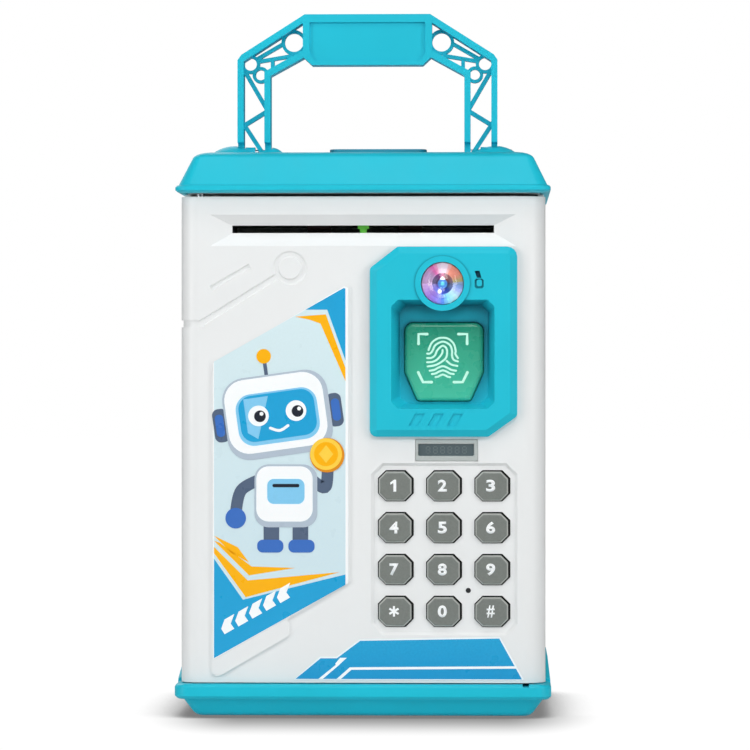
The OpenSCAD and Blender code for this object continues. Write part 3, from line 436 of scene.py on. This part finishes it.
TEAL = (30, 194, 217)
WHITE = (238, 240, 240)
LOOKS = {
    "white_shell": moulded("white_shell", WHITE, 0.36, 0.008, relief=0.004),
    "teal_shell": moulded("teal_shell", TEAL, 0.4, 0.03, Specular_IOR_Level=0.2),
    "teal_dark": moulded("teal_dark", (34, 160, 186), 0.42, 0.04),
    "foot_rubber": rubber("foot_rubber", (44, 44, 46)),
    "steel": metal("steel", (196, 198, 202), 0.28),
    "clear_lens": clear("clear_lens", (250, 250, 255), 0.0),
    "chrome": metal("chrome", (225, 228, 232), 0.08),
    "lamp": moulded("lamp", (236, 240, 246), 0.2, 0.01, Emission_Strength=0.15,
                    Emission_Color=(0.7, 0.85, 1, 1)),
    "jade_button": jade_with_painted_shade(button_low.z, button_high.z),
    "black_plastic": moulded("black_plastic", (32, 33, 36), 0.45, 0.1),
    "smoke_window": clear("smoke_window", (205, 208, 208), 0.06),
    "display_glass": moulded("display_glass", (90, 103, 107), 0.16, 0.05, relief=0.001),
    "sticker_front": printed("sticker_front", (246, 249, 250)),
    "sticker_corner": printed("sticker_corner", (240, 247, 250)),
    "key_plastic": key_material(key_front),
    "silicone_mat": rubber("silicone_mat", (206, 206, 200)),
    "circuit_board": circuit_material(),
    "battery_wrap": battery_material(cell_low.x, cell_high.x),
    "contact_metal": metal("contact_metal", (210, 205, 190), 0.25),
    "motor_metal": metal("motor_metal", (178, 180, 184), 0.35),
    "gear_plastic": moulded("gear_plastic", (232, 230, 222), 0.45, 0.02),
    "roller_rubber": rubber("roller_rubber", (74, 56, 52)),
    # the green lever glows a little: painted light that brightens it
    "lever_green": moulded("lever_green", (104, 214, 70), 0.4, 0.04, Emission_Color=(0.2, 0.7, 0.1, 1),
                           Emission_Strength=0.1),
}


# teal of the face panel, with painted shade darkening its recess
PANEL_LOOK = shade_painted_in_hollows("teal_panel", TEAL, (4, 80, 104), 14, 112, 142, roughness=0.4,
                      Specular_IOR_Level=0.25)


# ---------- CAD pieces ----------


def clean_group():
    """Joins the split vertices of an imported CAD mesh and drops its stored normals."""
    tree = bpy.data.node_groups.new("clean_cad", "GeometryNodeTree")
    tree.interface.new_socket("Geometry", in_out="INPUT", socket_type="NodeSocketGeometry")
    tree.interface.new_socket("Geometry", in_out="OUTPUT", socket_type="NodeSocketGeometry")
    steps = [tree.nodes.new(kind) for kind in (
        "NodeGroupInput", "GeometryNodeRemoveAttribute", "GeometryNodeMergeByDistance",
        "GeometryNodeSetShadeSmooth", "NodeGroupOutput")]
    steps[1].inputs["Name"].default_value = "custom_normal"
    steps[2].inputs["Distance"].default_value = 0.002 * MM
    for a, b in zip(steps, steps[1:]):
        tree.links.new(a.outputs[0], b.inputs["Geometry"])
    return tree


CLEAN = clean_group()
EDGE = {"base_tray": 0.5, "lid_cover": 0.5, "body_shell": 0.4, "door_shell": 0.4, "handle_frame": 0.7,
        "face_bezel": 0.4, "finger_button": 0.5, "coin_slot_insert": 0.5, "left_handle_socket": 0.4,
        "right_handle_socket": 0.4, "front_sticker": 0, "corner_sticker": 0, "feed_gear": 0,
        "motor_pinion": 0, "display_window": 0.2, "display_module": 0.1}
OTHER_EDGE = 0.15
KEY_EDGE = 0.25


def finish_cad(name, obj):
    """Gives a CAD piece its material and rounds its edges, as a mould would."""
    slot = obj.material_slots[0].material.name.split(".")[0]
    for place in obj.material_slots:
        place.material = PANEL_LOOK if name == "face_bezel" else LOOKS[slot]
    obj.modifiers.new("clean", "NODES").node_group = CLEAN
    flat = obj.modifiers.new("flat", "DECIMATE")
    flat.decimate_type = "DISSOLVE"
    flat.angle_limit = math.radians(0.8)
    width = KEY_EDGE if name.startswith("key_") else EDGE.get(name, OTHER_EDGE)
    if width:
        edge = obj.modifiers.new("edge", "BEVEL")
        edge.width = width * MM
        edge.segments = 3
        edge.limit_method = "ANGLE"
        edge.angle_limit = math.radians(32)
        edge.harden_normals = True
        edge.use_clamp_overlap = True
    normals = obj.modifiers.new("normals", "WEIGHTED_NORMAL")
    normals.keep_sharp = True


for node_name, node_object in NODES.items():
    finish_cad(node_name, node_object)


# ---------- flat art ----------


def arc(cx, cz, r, start, end, steps=12):
    return [(cx + r * math.cos(math.radians(start + (end - start) * i / steps)),
             cz + r * math.sin(math.radians(start + (end - start) * i / steps))) for i in range(steps + 1)]


def disc(cx, cz, r, steps=40):
    return arc(cx, cz, r, 0, 360 - 360 / steps, steps - 1)


def rounded(cx, cz, w, h, r):
    dx, dz = w / 2 - r, h / 2 - r
    corners = ((cx + dx, cz + dz), (cx - dx, cz + dz), (cx - dx, cz - dz), (cx + dx, cz - dz))
    return [p for i, (x, z) in enumerate(corners) for p in arc(x, z, r, 90 * i, 90 * i + 90, 8)]


def turned(points, cx, cz, degrees):
    c, s = math.cos(math.radians(degrees)), math.sin(math.radians(degrees))
    return [(cx + (x - cx) * c - (z - cz) * s, cz + (x - cx) * s + (z - cz) * c) for x, z in points]


def smooth_path(points, steps=8):
    """Points on a Catmull-Rom curve through the given ones."""
    ends = [points[0]] + list(points) + [points[-1]]
    path = []
    for a, b, c, d in zip(ends, ends[1:], ends[2:], ends[3:]):
        for i in range(steps):
            t = i / steps
            path.append(tuple(0.5 * (2 * q + (r - p) * t + (2 * p - 5 * q + 4 * r - s) * t * t
                                     + (3 * q - p - 3 * r + s) * t ** 3) for p, q, r, s in zip(a, b, c, d)))
    return path + [tuple(points[-1])]


def stroke(points, width):
    """Outline of a line of that width with round ends."""
    left, right = [], []
    last = len(points) - 1
    for i, (x, z) in enumerate(points):
        ax, az = points[max(i - 1, 0)]
        bx, bz = points[min(i + 1, last)]
        long = math.hypot(bx - ax, bz - az)
        nx, nz = -(bz - az) / long * width / 2, (bx - ax) / long * width / 2
        left.append((x + nx, z + nz))
        right.append((x - nx, z - nz))

    def cap(at, beside):
        a = math.degrees(math.atan2(beside[1] - at[1], beside[0] - at[0]))
        return arc(at[0], at[1], width / 2, a, a - 180, 6)

    return left[:-1] + cap(points[-1], left[-1]) + right[-2:0:-1] + cap(points[0], right[0])


def flat_piece(name, outlines, y, thick, material, body):
    """Thin prisms with (x, z) outlines in mm; their front face is at y and they are 'thick' deep."""
    made = bmesh.new()
    for outline in outlines:
        front = [made.verts.new((x * MM, y * MM, z * MM)) for x, z in outline]
        back = [made.verts.new((x * MM, (y + thick) * MM, z * MM)) for x, z in outline]
        made.faces.new(front)
        made.faces.new(back[::-1])
        for i in range(len(front)):
            j = (i + 1) % len(front)
            made.faces.new((front[j], front[i], back[i], back[j]))
    bmesh.ops.recalc_face_normals(made, faces=made.faces)
    bmesh.ops.triangulate(made, faces=[f for f in made.faces if len(f.verts) > 4])
    return finish_piece(name, made, material, body)


def finish_piece(name, made, material, body, smooth=False):
    mesh = bpy.data.meshes.new(name)
    made.to_mesh(mesh)
    made.free()
    mesh.materials.append(material)
    if smooth:
        mesh.shade_smooth()
    piece = bpy.data.objects.new(name, mesh)
    bpy.context.scene.collection.objects.link(piece)
    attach(piece, body)
    return piece


INK = {
    "white": printed("ink_white", (246, 249, 250)),
    "ground": printed("ink_ground", (212, 232, 236), (202, 224, 232), sticker_low.z / MM + 40,
                      sticker_high.z / MM),
    "grey": printed("ink_grey", (176, 190, 204)),
    "slate": printed("ink_slate", (84, 100, 124)),
    "dark": printed("ink_dark", (30, 36, 48)),
    "blue": printed("ink_blue", (30, 160, 212)),
    "corner_blue": printed("ink_corner_blue", (22, 150, 204), (34, 164, 212), 28, 14),
    "deep_blue": printed("ink_deep_blue", (60, 110, 190)),
    "sky": printed("ink_sky", (130, 200, 236)),
    "yellow": printed("ink_yellow", (250, 178, 0)),
    "gold": printed("ink_gold", (250, 206, 70)),
    "orange": printed("ink_orange", (222, 140, 24)),
    "mint": printed("ink_mint", (196, 250, 230)),
}
LAYER = 0.02    # one printed layer, in mm


def print_layers(prefix, layers, y, body):
    """Prints (ink, outlines) layers one over the other, from the sheet at y towards the front."""
    for i, (ink, outlines) in enumerate(layers):
        flat_piece(f"{prefix}_{i + 1:02d}_{ink}", outlines, y - LAYER * (i + 1), LAYER * 0.9,
                   INK[ink], body)


def sticker_art():
    """Pale ground and chevrons of the front sticker, inside its white border."""
    left, right = -53.3, -6.15
    return [
        ("ground", [[(left, 127.6), (-6.7, 154), (right, 153.7), (right, 47.7), (left, 21.3)]]),
        ("blue", [[(-20.5, 146.2), (-12.7, 146.2), (right, 128), (right, 153.7), (-6.7, 154)],
                  [(left, 57), (-42.9, 42.3), (right, 51.4), (right, 47.7), (left, 21.3)]]),
        ("yellow", [[(-24.2, 143.7), (-13.2, 144.5), (right, 125.3), (right, 120.6), (-15.1, 141.2),
                     (-19, 142.6)],
                    [(left, 61.2), (left, 58.9), (-41.9, 43.2), (-8.3, 52.2), (-41.2, 49.2)],
                    [(left, 63.4), (-40.7, 51), (-24.2, 53.7), (-39.8, 54.2), (-51.2, 62.7)],
                    [(left, 65.2), (-44.8, 61.1), (-40.7, 55.6), (-47.1, 59.2)]]),
        ("white", [[(x, z), (x + 3.5, z + 2), (x + 2.2, z - 1.5), (x + 3.5, z - 3.3), (x, z - 5.3),
                    (x - 1.2, z - 3.3)] for x, z in [(-49.5 + 5 * i, 35.2 + 2.8 * i) for i in range(5)]]),
    ]


def robot_art():
    """A boxy toy robot that holds up a coin."""
    hx, hz, lean = -30.5, 108.5, 8

    def head(points):
        return turned(points, hx, hz, lean)

    body_x, body_z = -27.5, 79.5
    layers = [
        ("slate", [stroke(head([(hx - 2, hz + 13), (hx - 2, hz + 20)]), 1.3),
                   head(rounded(hx - 20.6, hz - 1, 5.4, 12, 2.2)),
                   head(rounded(hx + 20.6, hz - 1, 5.4, 12, 2.2)),
                   stroke(smooth_path([(body_x - 9, body_z + 6), (body_x - 16, body_z + 2),
                                       (body_x - 18, body_z - 6)]), 4.2),
                   stroke(smooth_path([(body_x + 9, body_z + 6), (body_x + 14, body_z + 3),
                                       (body_x + 15, body_z + 9)]), 4.2),
                   rounded(body_x - 5.2, body_z - 13.5, 5.6, 9, 1.6),
                   rounded(body_x + 5.2, body_z - 13.5, 5.6, 9, 1.6)]),
        ("yellow", [head(disc(hx - 2, hz + 21.5, 2.6))]),
        ("deep_blue", [head(rounded(hx - 21, hz - 1, 3, 8, 1.4)), head(rounded(hx + 21, hz - 1, 3, 8, 1.4)),
                       rounded(body_x - 5.6, body_z - 18, 9.4, 4.6, 2),
                       rounded(body_x + 5.6, body_z - 18, 9.4, 4.6, 2),
                       disc(body_x - 18, body_z - 8, 3.7)]),
        ("grey", [head(rounded(hx, hz, 38, 29.5, 8)), rounded(body_x, body_z, 22.5, 22.5, 5)]),
        ("white", [head(rounded(hx - 0.5, hz + 0.8, 35.6, 26.6, 7.4)),
                   rounded(body_x - 0.5, body_z + 0.7, 20.2, 19.8, 4.4)]),
        ("sky", [head(rounded(hx, hz - 0.6, 29.4, 18.6, 5.6)), rounded(body_x, body_z + 1.6, 13.4, 9, 2.4)]),
        ("blue", [head(rounded(hx, hz - 0.2, 27.4, 16.6, 4.8))]),
        ("sky", [head([(hx - 11.4, hz + 7.2), (hx - 2.5, hz + 7.2), (hx - 8, hz - 7.6),
                       (hx - 11.4, hz - 5)])]),
        ("white", [head(disc(hx - 6.8, hz + 0.6, 3.7)), head(disc(hx + 6.8, hz + 0.6, 3.7)),
                   head(stroke(smooth_path([(hx - 3.2, hz - 4.3), (hx, hz - 5.6), (hx + 3.2, hz - 4.3)]),
                               1))]),
        ("dark", [head(disc(hx - 6.3, hz + 0.4, 2.1)), head(disc(hx + 7.3, hz + 0.4, 2.1)),
                  rounded(body_x, body_z + 3.7, 9.6, 1.2, 0.5)]),
        ("white", [head(disc(hx - 5.6, hz + 1.2, 0.7)), head(disc(hx + 8, hz + 1.2, 0.7))]),
        ("orange", [disc(body_x + 14.8, body_z + 14.6, 6.2)]),
        ("gold", [disc(body_x + 14.4, body_z + 15, 5.7)]),
        ("yellow", [disc(body_x + 14.4, body_z + 15, 4.3)]),
        ("gold", [[(body_x + 14.4, body_z + 18.2), (body_x + 17, body_z + 15), (body_x + 14.4, body_z + 11.8),
                   (body_x + 11.8, body_z + 15)]]),
    ]
    return layers


def corner_art():
    """Blue ground of the corner sticker, with two white lines across it."""
    ground = [(-24.1, 13.9), (-15.1, 21.3), (-9.3, 21.3), (-0.9, 27.6), (48.9, 28.5), (57, 13.9)]
    first = [(-15.9, 13.9), (-14.3, 13.9), (-9.2, 18.3), (-5.7, 21.5), (-8.1, 21.5), (-9.9, 19.3), (-9.6, 19)]
    second = [(-9.4, 13.9), (-7.8, 13.9), (-4.1, 17.2), (55.1, 17.75), (54.7, 18.6), (-4.6, 18.1)]
    return [("corner_blue", [ground]), ("white", [first, second])]


sheet_y = sticker_low.y / MM
corner_low, corner_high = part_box("corner_sticker")
print_layers("sticker_print", sticker_art(), sheet_y, "door")
print_layers("robot_print", robot_art(), sheet_y - 5 * LAYER, "door")
print_layers("corner_print", corner_art(), corner_low.y / MM, "door")


# ---------- legends of the keys ----------

LEGEND_H = 4.3
LEGEND_W = 3.25
LEGEND_SHIFT = (-0.4, 0.2)    # the legends stand a little off the middle, to the left and up


def key_middle(name):
    """Place of a key's legend, as x, y of the front and z, in mm."""
    low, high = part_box(name)
    dx, dz = LEGEND_SHIFT
    return (low.x + high.x) / 2 / MM + dx, low.y / MM, (low.z + high.z) / 2 / MM + dz


def typed_legend(name, mark, wide=LEGEND_W, tall=LEGEND_H, upside_down=False, bold=0.036):
    """Legend set in Blender's own typeface, stretched to a size in mm."""
    text = bpy.data.curves.new("legend", "FONT")
    text.body = mark
    text.size = 1
    text.offset = bold
    text.resolution_u = 6
    source = bpy.data.objects.new("legend", text)
    bpy.context.scene.collection.objects.link(source)
    bpy.context.view_layer.update()
    mesh = bpy.data.meshes.new_from_object(source)
    bpy.data.objects.remove(source)
    made = bmesh.new()
    made.from_mesh(mesh)
    bpy.data.meshes.remove(mesh)
    xs = [v.co.x for v in made.verts]
    ys = [v.co.y for v in made.verts]
    side = -1 if upside_down else 1
    tall *= side * MM / (max(ys) - min(ys))
    wide *= side * MM / (max(xs) - min(xs))
    cx, cy = (max(xs) + min(xs)) / 2, (max(ys) + min(ys)) / 2
    x, y, z = (c * MM for c in key_middle(name))
    for v in made.verts:
        v.co = ((v.co.x - cx) * wide + x, y - 0.01 * MM, (v.co.y - cy) * tall + z)
    bmesh.ops.recalc_face_normals(made, faces=made.faces)
    front = made.faces[:]
    if front[0].normal.y > 0:
        bmesh.ops.reverse_faces(made, faces=front)
    grown = bmesh.ops.extrude_face_region(made, geom=made.faces[:])
    moved = [v for v in grown["geom"] if isinstance(v, bmesh.types.BMVert)]
    bmesh.ops.translate(made, verts=moved, vec=(0, -0.03 * MM, 0))
    bmesh.ops.recalc_face_normals(made, faces=made.faces)
    finish_piece("legend_" + name, made, INK["white"], name)


def drawn_legend(name, outline):
    x, y, z = key_middle(name)
    flat_piece("legend_" + name, [[(x + px, z + pz) for px, pz in outline]], y - 0.04, 0.03, INK["white"],
               name)


def star_outline(reach, half, arms=6):
    """Star of straight arms; the notch between two arms lies where their edges cross."""
    outline = []
    for i in range(arms):
        notch = half / math.sin(math.pi / arms)
        for r, side, turn in ((reach, -half, 0), (reach, half, 0), (notch, 0, 180 / arms)):
            a = math.radians(90 + 360 * i / arms + turn)
            outline.append((r * math.cos(a) - side * math.sin(a), r * math.sin(a) + side * math.cos(a)))
    return outline


for digit in "02345687":
    typed_legend("key_" + digit, digit)
typed_legend("key_9", "6", upside_down=True)
typed_legend("key_hash", "#", 2.9, 4.4, bold=0.018)
drawn_legend("key_1", [(-0.2, -2.15), (0.8, -2.15), (0.8, 2.15), (0.05, 2.15), (-1.3, 1.15), (-1.3, 0.3),
                       (-0.2, 0.95)])
drawn_legend("key_star", star_outline(1.9, 0.37))


# ---------- fingerprint mark on the button ----------


def finger_mark():
    """Ridges and corner brackets, in mm from the middle of the button's mark."""
    ridges = [
        [(-5.1, 2.6), (-4.0, 5.1), (-2.1, 6.6), (0.1, 7.0), (2.2, 6.5), (3.9, 4.8), (4.6, 2.4), (4.5, 1.2),
         (5.4, -0.3)],
        [(-5.6, 1.3), (-4.5, 1.4), (-3.6, 2.5), (-2.6, 4.4), (0.1, 5.6), (2.5, 4.4), (3.3, 2.4), (3.3, 0.5),
         (3.9, -0.9), (5.4, -1.5)],
        [(-5.6, -0.3), (-4.1, -0.2), (-2.8, 0.7), (-1.9, 2.6), (-0.1, 4.1), (1.4, 3.0), (1.4, 0.5), (0.4, -1.0),
         (-2.4, -2.7), (-5.4, -3.3)],
        [(-0.1, 2.6), (-0.3, 1.3), (-1.9, -0.7), (-3.6, -1.6), (-5.6, -1.8)],
        [(1.4, -1.3), (3.0, -2.6), (5.2, -3.1)],
    ]
    for half, z, rise in ((4.7, -4.8, 1.6), (3.9, -6.0, 1.3), (2.6, -7.1, 0.9)):
        ridges.append([(half * t, z + rise * (0.5 + 0.5 * math.cos(math.pi * t)) ** 1.3)
                       for t in (-1, -0.66, -0.33, 0, 0.33, 0.66, 1)])
    marks = [stroke(smooth_path(r, 6), 0.72) for r in ridges]
    for s in (-1, 1):
        for bracket in ([(8.7, 4.8), (8.7, 8.3), (5.6, 8.3)], [(8.8, -5.4), (7.1, -8.9), (4.0, -8.9)]):
            marks.append(stroke([(s * x, z) for x, z in bracket], 1.0))
    return marks


MARK_SHIFT = (-0.42, 1.6)    # the mark stands a little left of the button's middle, and above it
mark_x = (button_low.x + button_high.x) / 2 / MM + MARK_SHIFT[0]
mark_z = (button_low.z + button_high.z) / 2 / MM + MARK_SHIFT[1]
flat_piece("fingerprint_mark", [[(x + mark_x, z + mark_z) for x, z in m] for m in finger_mark()],
           button_low.y / MM - 0.04, 0.03, INK["mint"], "finger_button")


# ---------- eye ----------


def revolve(profile, cx, cz, segments):
    """Rings of (radius, y) points in mm around the eye's axis, closed at a radius of 0."""
    made = bmesh.new()
    rings = []
    for r, y in profile:
        if r < 1e-6:
            rings.append([made.verts.new((cx * MM, y * MM, cz * MM))])
        else:
            rings.append([made.verts.new(((cx + r * math.cos(2 * math.pi * i / segments)) * MM, y * MM,
                                          (cz + r * math.sin(2 * math.pi * i / segments)) * MM))
                          for i in range(segments)])
    for a, b in zip(rings, rings[1:]):
        for i in range(segments):
            j = (i + 1) % segments
            corners = [a[i % len(a)], a[j % len(a)], b[j % len(b)], b[i % len(b)]]
            made.faces.new(list(dict.fromkeys(corners)))
    bmesh.ops.recalc_face_normals(made, faces=made.faces)
    return made


def rainbow_material(cx, cz, radius):
    """Iridescent plating whose colour goes round the eye, in two rings and a bright middle, glowing in that
    colour as painted light.
    """
    paint = Paint("rainbow_plating", Metallic=0.15, Specular_IOR_Level=0.5, Emission_Strength=0.42)
    axes = paint.add("ShaderNodeSeparateXYZ", {"Vector": paint.place})
    dx = paint.math("SUBTRACT", axes.outputs["X"], cx * MM)
    dz = paint.math("SUBTRACT", axes.outputs["Z"], cz * MM)
    # 0 on the left, 0.25 at the bottom, 0.5 on the right and 0.75 at the top
    turn = paint.math("ADD", paint.math("DIVIDE", paint.math("ARCTAN2", dz, dx), 2 * math.pi), 0.5)
    # flat wedges, as the facets of the cup show them
    wedge = paint.math("SNAP", paint.math("ADD", turn, 1 / 64), 1 / 32)
    turn = paint.math("ADD", paint.math("MULTIPLY", turn, 0.35), paint.math("MULTIPLY", wedge, 0.65))
    reach = paint.math("SQRT", paint.math("ADD", paint.math("POWER", dx, 2.0), paint.math("POWER", dz, 2.0)))
    reach = paint.math("DIVIDE", reach, radius * MM)
    outer = [(0.0, (226, 190, 236)), (0.08, (190, 150, 226)), (0.14, (165, 130, 226)), (0.2, (150, 145, 238)),
             (0.25, (96, 150, 240)), (0.3, (150, 235, 255)), (0.37, (206, 255, 252)), (0.43, (186, 204, 250)),
             (0.49, (126, 164, 218)), (0.53, (186, 172, 112)), (0.58, (228, 145, 118)), (0.67, (252, 158, 130)),
             (0.71, (250, 228, 236)), (0.77, (255, 236, 244)), (0.83, (240, 104, 180)), (0.89, (196, 160, 200))]
    inner = [(0.0, (128, 116, 170)), (0.1, (116, 110, 206)), (0.19, (110, 150, 240)), (0.24, (20, 70, 190)),
             (0.34, (16, 60, 160)), (0.42, (50, 88, 142)), (0.5, (84, 88, 116)), (0.58, (132, 86, 84)),
             (0.68, (160, 96, 90)), (0.75, (214, 70, 136)), (0.82, (116, 30, 112)), (0.92, (96, 84, 120))]
    rings = []
    for stops in (inner, outer):
        ramp = paint.add("ShaderNodeValToRGB", {"Fac": turn})
        band = ramp.color_ramp
        for i, (at, rgb) in enumerate(stops):
            stop = band.elements[i] if i < 2 else band.elements.new(at)
            stop.position = at
            stop.color = linear(rgb)
        rings.append(ramp.outputs["Color"])
    colour = paint.blend(paint.span(reach, 0, 1, 0.47, 0.5), rings[0], rings[1])
    colour = paint.blend(paint.span(reach, 1, 0, 0.2, 0.24), colour, linear((78, 150, 226)))
    colour = paint.blend(paint.span(reach, 1, 0, 0.07, 0.11), colour, linear((110, 230, 236)))
    # the colour also feeds a glow: painted light on the plating
    paint.feed(colour, "Base Color").feed(colour, "Emission Color")
    paint.feed(paint.span(paint.noise(0.7, 2), 0.16, 0.26), "Roughness")
    return paint.mat


def build_eye():
    """Faceted, plated bowl under a shallow clear dome."""
    low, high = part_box("eye_lens")
    cx, cz = (low.x + high.x) / 2 / MM, (low.z + high.z) / 2 / MM
    radius = (high.x - low.x) / 2 / MM
    back, front = high.y / MM, low.y / MM
    plating = revolve([(radius - 0.05, back - 0.15), (5.6, back + 1.1), (4, back + 0.5), (2.2, back + 1.7),
                       (1.5, back + 0.9), (0, back + 0.6)], cx, cz, 16)
    cup = finish_piece("eye_facets", plating, rainbow_material(cx, cz, radius), "door")
    solid = cup.modifiers.new("shell", "SOLIDIFY")
    solid.thickness = 0.3 * MM
    solid.offset = -1
    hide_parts("eye_reflector")
    depth = back - 0.35 - front
    ball = (radius ** 2 + depth ** 2) / (2 * depth)
    widest = math.asin(radius / ball)
    dome = [(ball * math.sin(widest * i / 14), front + ball * (1 - math.cos(widest * i / 14)))
            for i in range(15)]
    lens = revolve([*dome, (radius, back - 0.2), (0, back - 0.2)], cx, cz, 72)
    thin = clear("eye_glass", (250, 250, 255), 0.0, 1.06, Coat_Weight=1.0, Coat_Roughness=0.02)
    glass = finish_piece("eye_dome", lens, thin, "door", smooth=True)
    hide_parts("eye_lens")
    # glowing white triangle and dot behind the dome: painted reflections of the lamps
    glint = moulded("eye_glint", (255, 255, 255), 0.2, 0, Emission_Strength=0.7, Emission_Color=(1, 1, 1, 1))
    marks = [[(cx - 1.05, cz + 1.4), (cx + 1.05, cz + 1.4), (cx, cz + 2.7)], disc(cx - 1, cz - 2.8, 0.7, 24)]
    flat_piece("eye_glints", marks, back - 0.15, 0.04, glint, "door")


build_eye()


# ---------- display ----------


def frame_prism(name, outer, inner, y, thick, slope, material, body):
    """Flat frame between two outlines with as many corners; its opening widens by 'slope' to the front."""
    made = bmesh.new()
    cx = sum(x for x, z in inner) / len(inner)
    cz = sum(z for x, z in inner) / len(inner)
    wide = [(x + math.copysign(slope, x - cx), z + math.copysign(slope, z - cz)) for x, z in inner]
    rings = [[made.verts.new((x * MM, at * MM, z * MM)) for x, z in line]
             for line, at in ((outer, y + thick), (outer, y), (wide, y), (inner, y + thick))]
    for a, b in zip(rings, rings[1:] + rings[:1]):
        for i in range(len(a)):
            j = (i + 1) % len(a)
            made.faces.new((a[i], a[j], b[j], b[i]))
    bmesh.ops.recalc_face_normals(made, faces=made.faces)
    piece = finish_piece(name, made, material, body)
    edge = piece.modifiers.new("edge", "BEVEL")
    edge.width = 0.18 * MM
    edge.segments = 2
    edge.limit_method = "ANGLE"
    return piece


def seven_segments(cx, cz, w, h, bar):
    """The seven bars of one display digit."""
    bars = [(cx, cz + dz, w - 1.2 * bar, bar) for dz in (-h / 2, 0, h / 2)]
    bars += [(cx + sx * w / 2, cz + sz * h / 4, bar, h / 2 - 1.2 * bar) for sx in (-1, 1) for sz in (-1, 1)]
    return [[(x - a / 2, z - b / 2), (x + a / 2, z - b / 2), (x + a / 2, z + b / 2), (x - a / 2, z + b / 2)]
            for x, z, a, b in bars]


def build_display():
    """Grey frame with the liquid-crystal panel behind its opening."""
    low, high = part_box("display_window")
    x0, x1, z0, z1, y = (c / MM for c in (low.x, high.x, low.z, high.z, low.y))
    outer = [(x0 + 0.4, z0), (x1 - 0.4, z0), (x1, z0 + 0.4), (x1, z1), (x0, z1), (x0, z0 + 0.4)]
    left, right, bottom, top = x0 + 1.1, x1 - 1.5, z0 + 1.95, z1 - 1.75
    inner = [(left + 0.4, bottom), (right - 0.4, bottom), (right, bottom + 0.3), (right, top), (left, top),
             (left, bottom + 0.3)]
    grey = moulded("display_frame", (186, 192, 190), 0.3, 0.04, grain=0.2)
    frame_piece = frame_prism("display_frame", outer, inner, y, 1.2, 0.25, grey, "door")
    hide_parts("display_window")
    rim = 0.3
    panel = [(left - rim, bottom - rim), (right + rim, bottom - rim), (right + rim, top + rim),
             (left - rim, top + rim)]
    flat_piece("display_panel", [panel], y + 0.75, 0.4, LOOKS["display_glass"], "door")
    ghost = moulded("display_ghost", (102, 115, 118), 0.3, 0.03, relief=0.001)
    middle, height = (bottom + top) / 2, (top - bottom) * 0.58
    digits = [bar for i in range(6)
              for bar in seven_segments(left + 3.4 + 2.6 * i, middle, 1.35, height, 0.3)]
    flat_piece("display_ghost", digits, y + 0.73, 0.02, ghost, "door")


build_display()


# ---------- microphone hole ----------

MICROPHONE_AT = (37.8, 45.6)    # x, z of the hole's middle
HOLE_RADIUS = 0.92
# the dark disc is painted shade, standing in for the shadow inside the hole
HOLE_SHADE_DISC_Y = -56.15             # y of the dark disc, just inside the hole
flat_piece("microphone_hole", [disc(*MICROPHONE_AT, HOLE_RADIUS, 24)], HOLE_SHADE_DISC_Y, 0.05,
           LOOKS["black_plastic"], "door")
